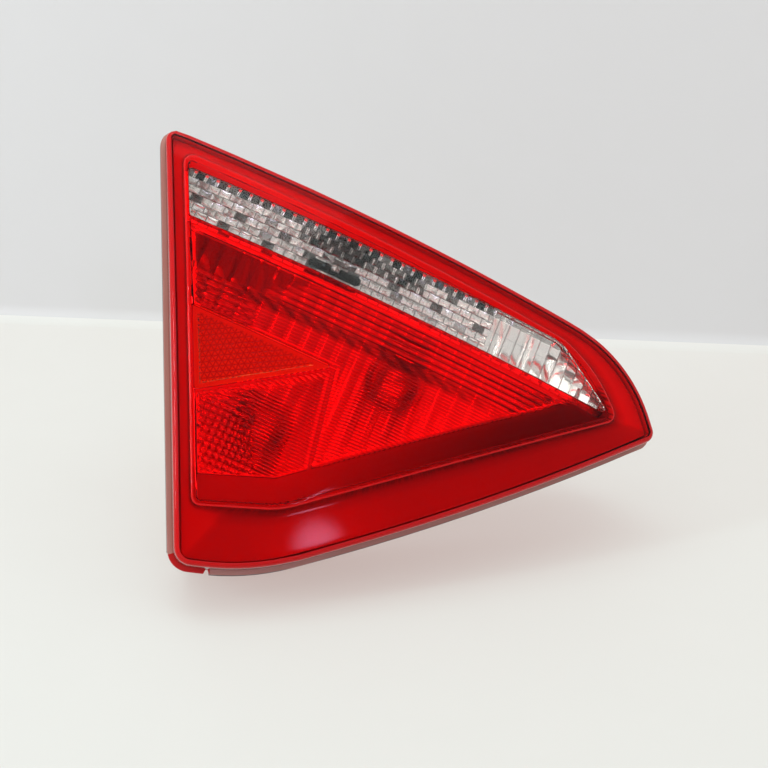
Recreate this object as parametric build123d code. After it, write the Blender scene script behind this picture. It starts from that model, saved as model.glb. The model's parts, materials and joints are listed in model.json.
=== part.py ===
from build123d import *
from math import asin, atan2, cos, degrees, radians, sin, sqrt
import os

# A left-hand inner tail lamp for a sloping boot lid. It is drawn looking square at the lens:
# X runs across the face, Y up the face and Z out of it, with Z = 0 on the shoulders of the bosses.
# At the end every piece is leaned back by the rake and moved so that the origin is where the
# thread of the lower stud leaves its seal, on the plane where the lamp meets the lid.

# Placing
RAKE = 30.0
QUARTER_TURN = 90.0
SPARE = 20.0
FACE_REACH = 170.0

# Crowned face of the lens
CROWN_RADIUS = 700.0
CROWN_HEIGHT = 64.0
TOP_LEFT = Vector(-80, 127)
SHOULDER = Vector(95, 20)
TIP = Vector(126, -33.5)
HEEL = Vector(-44, -70.3)
LOW_LEFT = Vector(-95, -65)
TOP_BOW = 1.2
BASE_BOW = 3.2
TOP_LEFT_ROUND = 4.0
LOW_LEFT_ROUND = 7.0
TIP_ROUND = 4.0
EDGE_ROUND = 2.5
LENS_WALL = 2.6

# Welding flange
FLANGE_HEIGHT = 40.0
FLANGE_THICK = 3.0
FLANGE_REACH = 2.2
NOTCH_WIDTH = 15.0
NOTCH_RISE = 5.0

# Raised panel, given by its distance inside the edges of the face
PANEL_STEP = 2.0
PANEL_ROUND = 0.8
PANEL_LEFT = 7.0
PANEL_TOP_LEFT = 8.5
PANEL_TOP_RIGHT = 10.0
PANEL_END_TOP = 11.0
PANEL_END_TIP = 13.0
PANEL_BASE_TIP = 12.0
PANEL_BASE_HEEL = 22.0
PANEL_HEEL_RIGHT = 20.0
PANEL_HEEL_LEFT = 23.5
PANEL_END_BOW = 3.5
PANEL_CORNER = 4.0
PANEL_SHOULDER = 16.0
PANEL_HEEL_ROUND = 30.0

# Reversing window and the zones below it, measured across the falling strip
STRIP_FALL = 30.5
WINDOW_WIDTH = 20.8
WINDOW_MARGIN = 1.8
WINDOW_CORNER = 1.5
WINDOW_SHOULDER = 13.0
WELD_GAP = 0.04
WINDOW_ROWS = 6
WINDOW_ROW_DEPTH = 0.9
BAND_WIDTH = 20.0
BAND_MARGIN = 1.0
BAND_FLUTES = 7
FLUTE_DEPTH = 0.7
FIELD_STRIP = 15.5
FIELD_RIBS = 27
RIB_DEPTH = 0.4
PAD_RISE = 0.3
SHELF = 14.0

# Reflex reflector
REFLEX_HEIGHT = 37.6
REFLEX_RISE = 3.5
REFLEX_MARGIN = 2.0
REFLEX_CORNER = 1.2
REFLEX_RECESS = 0.4
REFLEX_ROWS = 10
REFLEX_DEPTH = 1.1

# Reflector tubs
TUB_WALL = 1.6
TUB_GAP = 1.0
TUB_LEFT = 10.0
RIM_DROP = 6.0
TROUGH_FLOOR = 15.0
TROUGH_FOCUS = 120.0
COLUMN_PITCH = 8.0
COLUMN_BOW = 0.7
PARTITION_LEAN = 20.0
NECK_DEPTH = 6.0
POST_RADIUS = 3.5
TAIL_POST_LEFT = Vector(-55, 45)
TAIL_POST_RIGHT = Vector(50, -5)
FOG_POST_HIGH = Vector(-74, -1)
FOG_POST_LOW = Vector(-74, -27.5)
REVERSE_POST_LEFT = 26.0
REVERSE_POST_RIGHT = 76.0

# Bezel
BEZEL_WALL = 1.6
BEZEL_GAP = 0.6
BEZEL_CLEAR = 0.3

# Rear housing
HOUSING_BACK = 5.0
HOUSING_WALL = 2.6
HOUSING_INSET = 0.4
HOUSING_DRAFT = 8.0
LEDGE_WIDTH = 2.6

# Mounting studs
STUD_LOW = Vector(-70, -44)
STUD_HIGH = Vector(-58, 84)
STUD_RIGHT = Vector(88, -12)
STUD_RADIUS = 3.0
STUD_LENGTH = 19.0
STUD_CHAMFER = 0.8
COLLAR_RADIUS = 4.6
HEAD_RADIUS = 6.0
HEAD_THICK = 3.0
BOSS_RADIUS = 9.0
SEAL_THICK = 3.0
SEAL_CLEAR = 0.2

# Body gasket, laid along the edge of the back wall
GASKET_INSET = 6.0
GASKET_WIDTH = 4.0

# Bulbs
REVERSE_BULB_ALONG = -36.0
TAIL_BULB = Vector(12, 1.5)
FOG_BULB = Vector(-52, -14)
BASE_RADIUS = 7.5
BASE_LENGTH = 20.0
BASE_PIN_RADIUS = 1.0
BASE_PIN_REACH = 1.2
BASE_PIN_HEIGHT = 11.0
GLASS_RADIUS = 12.5
GLASS_NECK = 6.6
GLASS_LENGTH = 32.0
GLASS_WALL = 0.9
WEDGE_WIDTH = 13.0
WEDGE_THICK = 5.0
WEDGE_LENGTH = 16.0
TUBE_RADIUS = 6.5
TUBE_LENGTH = 26.0
WIRE_RADIUS = 0.4
WIRE_SPREAD = 3.2
COIL_RADIUS = 0.7
COIL_HEIGHT = 15.0

# Bulb carrier
SMALL_PORT = 10.0
LARGE_PORT = 18.0
BULB_CLEAR = 1.5
TUBE_CLEAR = 1.5
COLLAR_WALL = 2.4
COLLAR_RISE = 9.0
CARRIER_SEAL = 2.0
CARRIER_THICK = 3.0
CARRIER_LIP = 4.0
PLUG_GAP = 0.5
PLUG_WALL = 2.0
PLUG_RISE = 4.0
CUP_WALL = 3.0
CUP_GAP = 0.5
CUP_HEIGHT = 12.0
WEDGE_GAP = 0.2
WEDGE_CUP_RADIUS = 8.2
SLOT_GAP = 0.4
HOOK_WIDTH = 10.0
HOOK_WALL = 2.0
HOOK_GAP = 0.3
HOOK_GRIP = 1.2
HOOK_THICK = 2.0

# Connector and contact strips
CONNECTOR_REAR = -34.0
CONNECTOR_MIDDLE = 0.5
CONNECTOR_DEPTH = 22.0
CONNECTOR_RISE = 14.0
CONNECTOR_WALL = 1.8
LANE_PITCH = 5.0
LANES = 4
BLADE_WIDTH = 2.8
BLADE_LENGTH = 12.0
STRIP_THICK = 0.8
STRIP_WIDTH = 3.4
STRIP_GAP = 0.2
GATHER = 4.0
TURN_BELOW = 11.0
TURN_ABOVE = 12.0
RIVET_RADIUS = 1.5
GROUND_OFFSET = 5.5
GROUND_SWING = 9.0

# Small fixings
SCREW_RADIUS = 1.9
SCREW_HEAD = 3.2
SCREW_HEAD_THICK = 2.4
SCREW_BITE = 6.0
SCREW_GAP = 0.1
CROSS_WIDTH = 0.9
CROSS_DEPTH = 1.2
BREATHER_LOW = Vector(60, -30)
BREATHER_HIGH = Vector(38, 26)
BREATHER_STEM = 3.0
BREATHER_CAP = 6.0
BREATHER_RISE = 5.0
BREATHER_BARB = 0.8
BREATHER_GAP = 0.1
BREATHER_ROUND = 1.5

# Directions along and across the strip
ALONG = Vector(cos(radians(STRIP_FALL)), -sin(radians(STRIP_FALL)))
ACROSS = Vector(sin(radians(STRIP_FALL)), cos(radians(STRIP_FALL)))
CROWN_CENTRE = Vector(0, 0, CROWN_HEIGHT - CROWN_RADIUS)

# Levels above the shoulders of the bosses
flange_low = FLANGE_HEIGHT - FLANGE_THICK
back_inner = HOUSING_BACK + HOUSING_WALL
collar_end = HOUSING_BACK - COLLAR_RISE
carrier_front = collar_end - CARRIER_SEAL
carrier_back = carrier_front - CARRIER_THICK
face_top = CROWN_HEIGHT + PANEL_STEP + SPARE
panel_inner = PANEL_STEP - LENS_WALL


# Lines on the face: a point and a direction

def inset_line(start, end, start_inset, end_inset):
    """The line a to b of an outline that runs clockwise, moved inward at both ends."""
    along = (end - start).normalized()
    inward = Vector(along.Y, -along.X)
    first = start + inward * start_inset
    last = end + inward * end_inset
    return first, (last - first).normalized()


def meet(first, second):
    """The point where two lines cross."""
    gap = second[0] - first[0]
    cross = first[1].X * second[1].Y - first[1].Y * second[1].X
    run = (gap.X * second[1].Y - gap.Y * second[1].X) / cross
    return first[0] + first[1] * run


def left_line(inset):
    return inset_line(LOW_LEFT, TOP_LEFT, inset, inset)


def top_line():
    return inset_line(TOP_LEFT, SHOULDER, PANEL_TOP_LEFT, PANEL_TOP_RIGHT)


def end_line(inset):
    return inset_line(SHOULDER, TIP, PANEL_END_TOP + inset, PANEL_END_TIP + inset)


def base_line(inset):
    return inset_line(TIP, HEEL, PANEL_BASE_TIP + inset, PANEL_BASE_HEEL + inset)


def heel_line(inset):
    return inset_line(HEEL, LOW_LEFT, PANEL_HEEL_RIGHT + inset, PANEL_HEEL_LEFT + inset)


def strip_line(height):
    return ACROSS * height, ALONG


# Outlines on the face

def polygon(corners):
    return make_face(Polyline(*corners, close=True))


def nearest(sketch, corner):
    return sketch.vertices().sort_by_distance(corner)[0]


def rounded(sketch, corner, radius):
    return fillet(nearest(sketch, corner), radius)


def lens_outline():
    top = SagittaArc(TOP_LEFT, SHOULDER, TOP_BOW)
    end = TangentArc(top @ 1, TIP, tangent=top % 1)
    base = SagittaArc(TIP, HEEL, BASE_BOW)
    heel = TangentArc(base @ 1, LOW_LEFT, tangent=base % 1)
    left = Line(LOW_LEFT, TOP_LEFT)
    face = make_face([top, end, base, heel, left])
    face = rounded(face, TOP_LEFT, TOP_LEFT_ROUND)
    face = rounded(face, LOW_LEFT, LOW_LEFT_ROUND)
    return rounded(face, TIP, TIP_ROUND)


panel_top_left = meet(left_line(PANEL_LEFT), top_line())
panel_shoulder = meet(top_line(), end_line(0))
panel_tip = meet(end_line(0), base_line(0))
panel_heel = meet(base_line(0), heel_line(0))
panel_low_left = meet(heel_line(0), left_line(PANEL_LEFT))


def panel_outline():
    face = make_face([
        SagittaArc(panel_top_left, panel_shoulder, TOP_BOW),
        SagittaArc(panel_shoulder, panel_tip, PANEL_END_BOW),
        Line(panel_tip, panel_heel),
        Line(panel_heel, panel_low_left),
        Line(panel_low_left, panel_top_left),
    ])
    for corner in (panel_top_left, panel_tip, panel_low_left):
        face = rounded(face, corner, PANEL_CORNER)
    face = rounded(face, panel_shoulder, PANEL_SHOULDER)
    return rounded(face, panel_heel, PANEL_HEEL_ROUND)


# Heights of the zones, measured across the strip from the middle of the crown
window_top = panel_shoulder.dot(ACROSS) - WINDOW_MARGIN
window_low = window_top - WINDOW_WIDTH
window_middle = (window_top + window_low) / 2
band_top = window_low - BAND_MARGIN
band_low = window_low - BAND_WIDTH
reflex_top = band_low - FIELD_STRIP


def window_outline(grow):
    left = left_line(PANEL_LEFT + WINDOW_MARGIN - grow)
    right = end_line(WINDOW_MARGIN - grow)
    high = strip_line(window_top + grow)
    low = strip_line(window_low - grow)
    corners = [meet(left, high), meet(high, right), meet(right, low), meet(low, left)]
    face = polygon(corners)
    face = rounded(face, corners[1], WINDOW_SHOULDER + grow)
    for corner in (corners[0], corners[2], corners[3]):
        face = rounded(face, corner, WINDOW_CORNER + grow)
    return face


reflex_left = left_line(PANEL_LEFT + REFLEX_MARGIN)
reflex_high = meet(reflex_left, strip_line(reflex_top))
reflex_foot = reflex_high - reflex_left[1] * REFLEX_HEIGHT
reflex_run = Vector(cos(radians(REFLEX_RISE)), sin(radians(REFLEX_RISE)))
reflex_tip = meet((reflex_foot, reflex_run), strip_line(reflex_top))


def reflex_outline(grow):
    face = polygon([reflex_high, reflex_tip, reflex_foot])
    for corner in (reflex_high, reflex_tip, reflex_foot):
        face = rounded(face, corner, REFLEX_CORNER)
    return offset(face, grow) if grow else face


partition = Vector(sin(radians(PARTITION_LEAN)), cos(radians(PARTITION_LEAN)))
partition_side = Vector(partition.Y, -partition.X)


def field_corners(high, gap):
    """Corners of the tail zone, from the given height down to the reflex and the shelf."""
    split = reflex_tip + partition_side * gap, partition
    low = strip_line(reflex_top + gap)
    return [
        meet(left_line(TUB_LEFT), strip_line(high)),
        meet(strip_line(high), base_line(SHELF)),
        meet(base_line(SHELF), split),
        meet(split, low),
        meet(low, left_line(TUB_LEFT)),
    ]


def fog_corners(gap):
    """Corners of the fog zone, below the reflex and left of the partition."""
    split = reflex_tip - partition_side * gap, partition
    high = reflex_foot - Vector(0, gap), reflex_run
    return [
        meet(left_line(TUB_LEFT), high),
        meet(high, split),
        meet(split, base_line(SHELF)),
        meet(base_line(SHELF), heel_line(SHELF)),
        meet(heel_line(SHELF), left_line(TUB_LEFT)),
    ]


def band_corners():
    """Corners of the fluted band under the window."""
    return [
        meet(left_line(TUB_LEFT), strip_line(band_top)),
        meet(strip_line(band_top), base_line(SHELF)),
        meet(base_line(SHELF), strip_line(band_low)),
        meet(strip_line(band_low), left_line(TUB_LEFT)),
    ]


# Solids

def crown(rise):
    """A ball whose skin lies this far outside the crowned face."""
    turn = Pos(*CROWN_CENTRE) * Rot(0, QUARTER_TURN, 0)
    return turn * Sphere(CROWN_RADIUS + rise)


def prism(outline, low, high):
    return Pos(0, 0, low) * extrude(outline, high - low)


def capped(outline, low, rise):
    """An upright block on an outline, cut off by the crown."""
    return prism(outline, low, face_top) & crown(rise)


def crown_edges(block):
    return block.faces().sort_by(Axis.Z)[-1].edges()


def rod(place, radius, low, high):
    return Pos(place.X, place.Y, low) * extrude(Circle(radius), high - low)


def block(low_corner, high_corner):
    size = high_corner - low_corner
    middle = (low_corner + high_corner) / 2
    return Pos(*middle) * Box(size.X, size.Y, size.Z)


def on_arc(height, radius):
    return height, sqrt(radius ** 2 - height ** 2)


def ribbed(rise, valley, depth, low, high, count):
    """A piece of the crown whose inner side carries prism ribs that run along the strip.
    It reaches part of a rib beyond the heights given, so that an outline can trim it."""
    outer = CROWN_RADIUS + rise
    inner = CROWN_RADIUS + valley
    pitch = (high - low) / count
    top = high + pitch / 4
    foot = top - (count + 1) * pitch
    edges = [ThreePointArc(on_arc(foot, outer), on_arc((foot + top) / 2, outer), on_arc(top, outer))]
    edges.append(Line(on_arc(top, outer), on_arc(top, inner)))
    for number in range(count + 1):
        start = top - number * pitch
        crest = on_arc(start - pitch / 2, inner - depth)
        edges.append(Line(on_arc(start, inner), crest))
        edges.append(Line(crest, on_arc(start - pitch, inner)))
    edges.append(Line(on_arc(foot, inner), on_arc(foot, outer)))
    section = Plane(origin=CROWN_CENTRE, x_dir=ACROSS, z_dir=ALONG) * make_face(edges)
    half = degrees(asin(FACE_REACH / CROWN_RADIUS))
    axis = Axis(CROWN_CENTRE, ACROSS)
    return revolve(section, axis, half * 2).rotate(axis, -half)


# Outer lens, reversing window and reflex reflector

face_outline = lens_outline()
raised_outline = panel_outline()


def outer_lens():
    shell = capped(face_outline, flange_low, 0)
    shell = fillet(crown_edges(shell), EDGE_ROUND)
    panel = capped(raised_outline, FLANGE_HEIGHT, PANEL_STEP)
    shell += fillet(crown_edges(panel), PANEL_ROUND)
    shell += flange(flange_low, FLANGE_HEIGHT)
    shell -= capped(offset(face_outline, -LENS_WALL), 0, -LENS_WALL)
    shell -= capped(offset(raised_outline, -LENS_WALL), 0, panel_inner)
    middle = panel_inner + LENS_WALL / 2
    valley = panel_inner - PAD_RISE
    flutes = ribbed(middle, valley, FLUTE_DEPTH, band_low, band_top, BAND_FLUTES)
    shell += flutes & prism(polygon(band_corners()), 0, face_top)
    field_low = band_low - BAND_MARGIN
    depth = max(abs(corner.dot(ACROSS)) for corner in fog_corners(TUB_GAP))
    ribs = ribbed(middle, valley, RIB_DEPTH, -depth, field_low, FIELD_RIBS)
    field = polygon(field_corners(field_low, TUB_GAP)) + polygon(fog_corners(TUB_GAP))
    shell += ribs & prism(field, 0, face_top)
    shell -= prism(window_outline(0), 0, face_top)
    return shell - prism(reflex_outline(0), 0, face_top)


def flange(low, high):
    """Rim plate around the skirt, left out at the low left corner."""
    plate = prism(offset(face_outline, FLANGE_REACH), low, high)
    corner = LOW_LEFT - Vector(SPARE, SPARE)
    notch = block(corner, LOW_LEFT + Vector(NOTCH_WIDTH, NOTCH_RISE, face_top))
    return plate - (notch - prism(face_outline, 0, face_top))


def reversing_window():
    glass = ribbed(PANEL_STEP, panel_inner, WINDOW_ROW_DEPTH, window_low, window_top, WINDOW_ROWS)
    return glass & prism(window_outline(-WELD_GAP), 0, face_top)


def reflex_reflector():
    low = reflex_foot.dot(ACROSS)
    plate = ribbed(PANEL_STEP - REFLEX_RECESS, panel_inner, REFLEX_DEPTH, low, reflex_top, REFLEX_ROWS)
    return plate & prism(reflex_outline(-WELD_GAP), 0, face_top)


# Reflector tubs

reverse_bulb = ALONG * REVERSE_BULB_ALONG + ACROSS * window_middle
reverse_posts = [
    reverse_bulb - ALONG * REVERSE_POST_LEFT,
    reverse_bulb + ALONG * REVERSE_POST_RIGHT,
]
tail_posts = [TAIL_POST_LEFT, TAIL_POST_RIGHT]
fog_posts = [FOG_POST_HIGH, FOG_POST_LOW]


def trough_height(along, focus):
    """Height of the trough's floor: a parabola along the strip with its foot at the bulb."""
    return TROUGH_FLOOR + (along - focus) ** 2 / (4 * TROUGH_FOCUS)


def above_trough(focus, drop, bow):
    """Everything above the trough's floor, with columns bowed towards the lens."""
    count = int(2 * FACE_REACH / COLUMN_PITCH)
    start = focus - count * COLUMN_PITCH / 2
    stations = [start + number * COLUMN_PITCH for number in range(count + 1)]
    points = [(along, trough_height(along, focus) - drop) for along in stations]
    roof = face_top + max(height for along, height in points)
    edges = []
    for left, right in zip(points, points[1:]):
        middle = ((left[0] + right[0]) / 2, (left[1] + right[1]) / 2 + bow)
        edges.append(ThreePointArc(left, middle, right) if bow else Line(left, right))
    edges.append(Polyline(points[-1], (points[-1][0], roof), (points[0][0], roof), points[0]))
    section = Plane(origin=(0, 0, 0), x_dir=ALONG, z_dir=-ACROSS) * make_face(edges)
    return extrude(section, FACE_REACH, both=True)


def tub(outline, bulb, hole, posts):
    """A reflector: walls up to the rim, a columned floor, two posts and a neck round the bulb."""
    focus = bulb.dot(ALONG)
    body = capped(outline, 0, -RIM_DROP) & above_trough(focus, TUB_WALL, 0)
    body += rod(bulb, hole + TUB_WALL, TROUGH_FLOOR - NECK_DEPTH, TROUGH_FLOOR)
    for post in posts:
        height = trough_height(post.dot(ALONG), focus)
        body += rod(post, POST_RADIUS, back_inner, height)
    inside = prism(offset(outline, -TUB_WALL), 0, face_top)
    body -= inside & above_trough(focus, 0, COLUMN_BOW)
    for post in posts:
        body -= rod(post, SCREW_RADIUS + SCREW_GAP, back_inner, back_inner + SCREW_BITE)
    return body - rod(bulb, hole, 0, face_top)


tail_top = window_low - TUB_GAP - TUB_GAP
reverse_zone = window_outline(TUB_GAP)
tail_zone = polygon(field_corners(tail_top, TUB_GAP))
fog_zone = polygon(fog_corners(TUB_GAP))


def reverse_reflector():
    return tub(reverse_zone, reverse_bulb, TUBE_RADIUS + TUBE_CLEAR, reverse_posts)


def tail_reflector():
    return tub(tail_zone, TAIL_BULB, GLASS_RADIUS + BULB_CLEAR, tail_posts)


def fog_reflector():
    return tub(fog_zone, FOG_BULB, GLASS_RADIUS + BULB_CLEAR, fog_posts)


def inner_bezel():
    """Bright plate around the tubs, on a skirt that stands on the housing's ledge."""
    outer = offset(face_outline, -LENS_WALL - BEZEL_GAP)
    inner = offset(outer, -BEZEL_WALL)
    plate = capped(outer, flange_low, -RIM_DROP)
    plate -= capped(inner, 0, -RIM_DROP - BEZEL_WALL)
    for zone in (reverse_zone, tail_zone, fog_zone):
        plate -= prism(offset(zone, BEZEL_CLEAR), 0, face_top)
    return plate


# Rear housing

studs = [STUD_LOW, STUD_HIGH, STUD_RIGHT]
breathers = [BREATHER_LOW, BREATHER_HIGH]
screws = reverse_posts + tail_posts + fog_posts


def port(grow):
    """Outline of the bulb opening: a hull around the three bulbs."""
    rings = [
        (reverse_bulb, SMALL_PORT),
        (TAIL_BULB, LARGE_PORT),
        (FOG_BULB, LARGE_PORT),
    ]
    circles = [Pos(place.X, place.Y) * Circle(radius + grow) for place, radius in rings]
    return make_hull([circle.edge() for circle in circles])


def drafted(inset, back):
    """The tub's body: the face outline, narrowing towards the back."""
    start = Pos(0, 0, flange_low) * offset(face_outline, -inset)
    return extrude(start, back - flange_low, taper=HOUSING_DRAFT)


def hooks():
    """Four snap hooks that grip the edge of the carrier."""
    inner = CARRIER_LIP + HOOK_GAP
    outer = inner + HOOK_WALL
    tip = carrier_back - HOOK_THICK
    arms = prism(port(outer) - port(inner), tip, back_inner)
    arms += prism(port(outer) - port(CARRIER_LIP - HOOK_GRIP), tip, carrier_back)
    centre = (reverse_bulb + TAIL_BULB + FOG_BULB) / 3
    left_side = (reverse_bulb + FOG_BULB) / 2
    right_side = (reverse_bulb + TAIL_BULB) / 2
    across = Vector(1, 0)
    places = [
        (TAIL_BULB, across),
        (FOG_BULB, -across),
        (left_side, left_side - centre),
        (right_side, right_side - centre),
    ]
    kept = None
    for side, away in places:
        bar = Rectangle(FACE_REACH, HOOK_WIDTH, align=(Align.MIN, Align.CENTER))
        turn = degrees(atan2(away.Y, away.X))
        bar = Pos(side.X, side.Y) * Rot(0, 0, turn) * bar
        piece = arms & prism(bar, tip, back_inner)
        kept = piece if kept is None else kept + piece
    return kept


def rear_housing():
    shell = drafted(HOUSING_INSET, HOUSING_BACK)
    shell -= drafted(HOUSING_INSET + HOUSING_WALL, back_inner)
    shell += flange(flange_low - FLANGE_THICK, flange_low)
    ledge = LENS_WALL + LEDGE_WIDTH
    shell -= prism(offset(face_outline, -ledge), flange_low - FLANGE_THICK, face_top)
    shell += prism(port(COLLAR_WALL), collar_end, back_inner)
    shell += hooks()
    shell -= prism(port(0), collar_end, back_inner)
    for stud in studs:
        shell += rod(stud, BOSS_RADIUS, 0, back_inner)
        shell -= rod(stud, COLLAR_RADIUS, 0, back_inner)
        shell -= rod(stud, HEAD_RADIUS, back_inner - HEAD_THICK, back_inner)
    for screw in screws:
        shell -= rod(screw, SCREW_RADIUS + SCREW_GAP, HOUSING_BACK, back_inner)
    for breather in breathers:
        shell -= rod(breather, BREATHER_STEM + BREATHER_GAP, HOUSING_BACK, back_inner)
    return shell


def mounting_studs():
    group = []
    for stud in studs:
        pin = rod(stud, STUD_RADIUS, -SEAL_THICK - STUD_LENGTH, -SEAL_THICK)
        pin = chamfer(pin.faces().sort_by(Axis.Z)[0].edges(), STUD_CHAMFER)
        pin += rod(stud, COLLAR_RADIUS, -SEAL_THICK, back_inner - HEAD_THICK)
        pin += rod(stud, HEAD_RADIUS, back_inner - HEAD_THICK, back_inner)
        group.append(pin)
    return group


def stud_seals():
    hole = COLLAR_RADIUS + SEAL_CLEAR
    return [
        rod(stud, BOSS_RADIUS, -SEAL_THICK, 0) - rod(stud, hole, -SEAL_THICK, 0)
        for stud in studs
    ]


def body_gasket():
    outer = offset(face_outline, -GASKET_INSET)
    return prism(outer - offset(outer, -GASKET_WIDTH), -SEAL_THICK, HOUSING_BACK)


def breather_caps():
    group = []
    for place in breathers:
        cap = rod(place, BREATHER_CAP, HOUSING_BACK - BREATHER_RISE, HOUSING_BACK)
        cap = fillet(cap.faces().sort_by(Axis.Z)[0].edges(), BREATHER_ROUND)
        cap += rod(place, BREATHER_STEM, HOUSING_BACK, back_inner + BREATHER_BARB)
        barb = BREATHER_STEM + BREATHER_BARB
        group.append(cap + rod(place, barb, back_inner, back_inner + BREATHER_BARB))
    return group


def reflector_screws():
    group = []
    for place in screws:
        head_low = HOUSING_BACK - SCREW_HEAD_THICK
        screw = rod(place, SCREW_HEAD, head_low, HOUSING_BACK)
        screw += rod(place, SCREW_RADIUS, HOUSING_BACK, back_inner + SCREW_BITE - SCREW_GAP)
        for turn in (0, QUARTER_TURN):
            bar = Pos(place.X, place.Y) * Rot(0, 0, turn) * Rectangle(SCREW_HEAD, CROSS_WIDTH)
            screw -= prism(bar, head_low, head_low + CROSS_DEPTH)
        group.append(screw)
    return group


# Bulb carrier, its gasket, the connector and the contact strips

lane_low = CONNECTOR_MIDDLE - (LANES - 1) * LANE_PITCH / 2
lanes = [lane_low + number * LANE_PITCH for number in range(LANES)]
riser = CONNECTOR_REAR + CONNECTOR_WALL + STRIP_GAP
gather = CONNECTOR_REAR - GATHER
blade_level = carrier_back - CONNECTOR_RISE / 2


def track(points, width):
    """A flat strip along a run of straight legs with round corners."""
    legs = []
    for start, end in zip(points, points[1:]):
        run = end - start
        middle = (start + end) / 2
        slot = SlotCenterToCenter(run.length, width)
        legs.append(Pos(middle.X, middle.Y) * Rot(0, 0, degrees(atan2(run.Y, run.X))) * slot)
    shape = legs[0]
    for leg in legs[1:]:
        shape += leg
    return shape


def strip_routes():
    """The legs of each contact strip, from its bulb to its lane at the connector."""
    tail_lane, fog_lane, ground_lane, reverse_lane = lanes
    below = tail_lane - TURN_BELOW
    above = reverse_lane + TURN_ABOVE
    side = Vector(GROUND_OFFSET, 0)
    swing = Vector(0, GROUND_SWING)
    fog_ground = FOG_BULB - side
    turn = Vector(fog_ground.X, ground_lane)
    return {
        "tail": [[
            TAIL_BULB, Vector(TAIL_BULB.X, below), Vector(gather, below),
            Vector(gather, tail_lane), Vector(riser, tail_lane),
        ]],
        "fog": [[FOG_BULB, Vector(FOG_BULB.X, fog_lane), Vector(riser, fog_lane)]],
        "ground": [
            [fog_ground, turn, Vector(riser, ground_lane)],
            [turn, reverse_bulb - side, reverse_bulb + swing, reverse_bulb + side + side,
             TAIL_BULB + side + swing, TAIL_BULB + side],
        ],
        "reverse": [[
            reverse_bulb, Vector(reverse_bulb.X, above), Vector(gather, above),
            Vector(gather, reverse_lane), Vector(riser, reverse_lane),
        ]],
    }


routes = strip_routes()
strip_lanes = dict(zip(("tail", "fog", "ground", "reverse"), lanes))
side_step = Vector(GROUND_OFFSET, 0)
rivet_places = {
    "tail": [TAIL_BULB],
    "fog": [FOG_BULB],
    "reverse": [reverse_bulb],
    "ground": [FOG_BULB - side_step, reverse_bulb - side_step, TAIL_BULB + side_step],
}


def strip_body(name, gap):
    """The flat part of a strip, with the clearance given."""
    low = carrier_back - STRIP_THICK - gap
    body = None
    for route in routes[name]:
        leg = prism(track(route, STRIP_WIDTH + gap * 2), low, carrier_back)
        body = leg if body is None else body + leg
    return body


def contact_strip(name):
    """A strip with its rivets to the bulb and its blade in the connector."""
    body = strip_body(name, 0)
    for place in rivet_places[name]:
        body += rod(place, RIVET_RADIUS, carrier_back - STRIP_THICK, carrier_front)
    lane = strip_lanes[name]
    half = Vector(0, BLADE_WIDTH / 2)
    foot = Vector(riser, lane, carrier_back)
    drop = Vector(0, 0, blade_level - carrier_back)
    thick = Vector(STRIP_THICK, 0, 0)
    body += block(foot - half + drop, foot + half + thick)
    plate = Vector(BLADE_LENGTH, 0, STRIP_THICK)
    return body + block(foot - half + drop, foot + half + drop + plate)


def connector():
    """Socket box on the back of the carrier, open towards +X, with slots for the strips."""
    half = (LANES * LANE_PITCH) / 2 + CONNECTOR_WALL
    low = Vector(CONNECTOR_REAR, CONNECTOR_MIDDLE - half, carrier_back - CONNECTOR_RISE)
    high = Vector(CONNECTOR_REAR + CONNECTOR_DEPTH, CONNECTOR_MIDDLE + half, carrier_back)
    wall = Vector(CONNECTOR_WALL, CONNECTOR_WALL, CONNECTOR_WALL)
    mouth = Vector(SPARE, -CONNECTOR_WALL, 0)
    box = block(low, high) - block(low + wall, high + mouth)
    for name in routes:
        box -= strip_body(name, STRIP_GAP)
    return box


def bulb_cup(place):
    """Bayonet cup with two slots for the pins of the bulb's base."""
    inner = BASE_RADIUS + CUP_GAP
    cup = rod(place, inner + CUP_WALL, carrier_front, carrier_front + CUP_HEIGHT)
    cup -= rod(place, inner, carrier_front, carrier_front + CUP_HEIGHT)
    slot = (BASE_PIN_RADIUS + SLOT_GAP) * 2
    bar = Pos(place.X, place.Y) * Rectangle((inner + CUP_WALL) * 2, slot)
    floor = carrier_front + BASE_PIN_HEIGHT - BASE_PIN_RADIUS - SLOT_GAP
    return cup - prism(bar, floor, carrier_front + CUP_HEIGHT)


def bulb_carrier():
    plate = prism(port(CARRIER_LIP), carrier_back, carrier_front)
    outer = port(-PLUG_GAP)
    inner = port(-PLUG_GAP - PLUG_WALL)
    plate += prism(outer - inner, carrier_back, carrier_front + PLUG_RISE)
    plate += bulb_cup(TAIL_BULB)
    plate += bulb_cup(FOG_BULB)
    wedge = rod(reverse_bulb, WEDGE_CUP_RADIUS, carrier_front, carrier_front + CUP_HEIGHT)
    pocket = Rectangle(WEDGE_WIDTH + WEDGE_GAP * 2, WEDGE_THICK + WEDGE_GAP * 2)
    pocket = Pos(reverse_bulb.X, reverse_bulb.Y) * pocket
    wedge -= prism(pocket, carrier_front, carrier_front + CUP_HEIGHT)
    plate += wedge
    plate += connector()
    for places in rivet_places.values():
        for place in places:
            plate -= rod(place, RIVET_RADIUS + STRIP_GAP, carrier_back, carrier_front)
    return plate


def carrier_gasket():
    return prism(port(COLLAR_WALL) - port(0), carrier_front, collar_end)


# Bulbs

def bayonet_base(place):
    top = carrier_front + BASE_LENGTH
    base = rod(place, BASE_RADIUS, carrier_front, top)
    pin = Cylinder(BASE_PIN_RADIUS, (BASE_RADIUS + BASE_PIN_REACH) * 2)
    pin = Rot(0, QUARTER_TURN, 0) * pin
    return base + Pos(place.X, place.Y, carrier_front + BASE_PIN_HEIGHT) * pin


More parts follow.
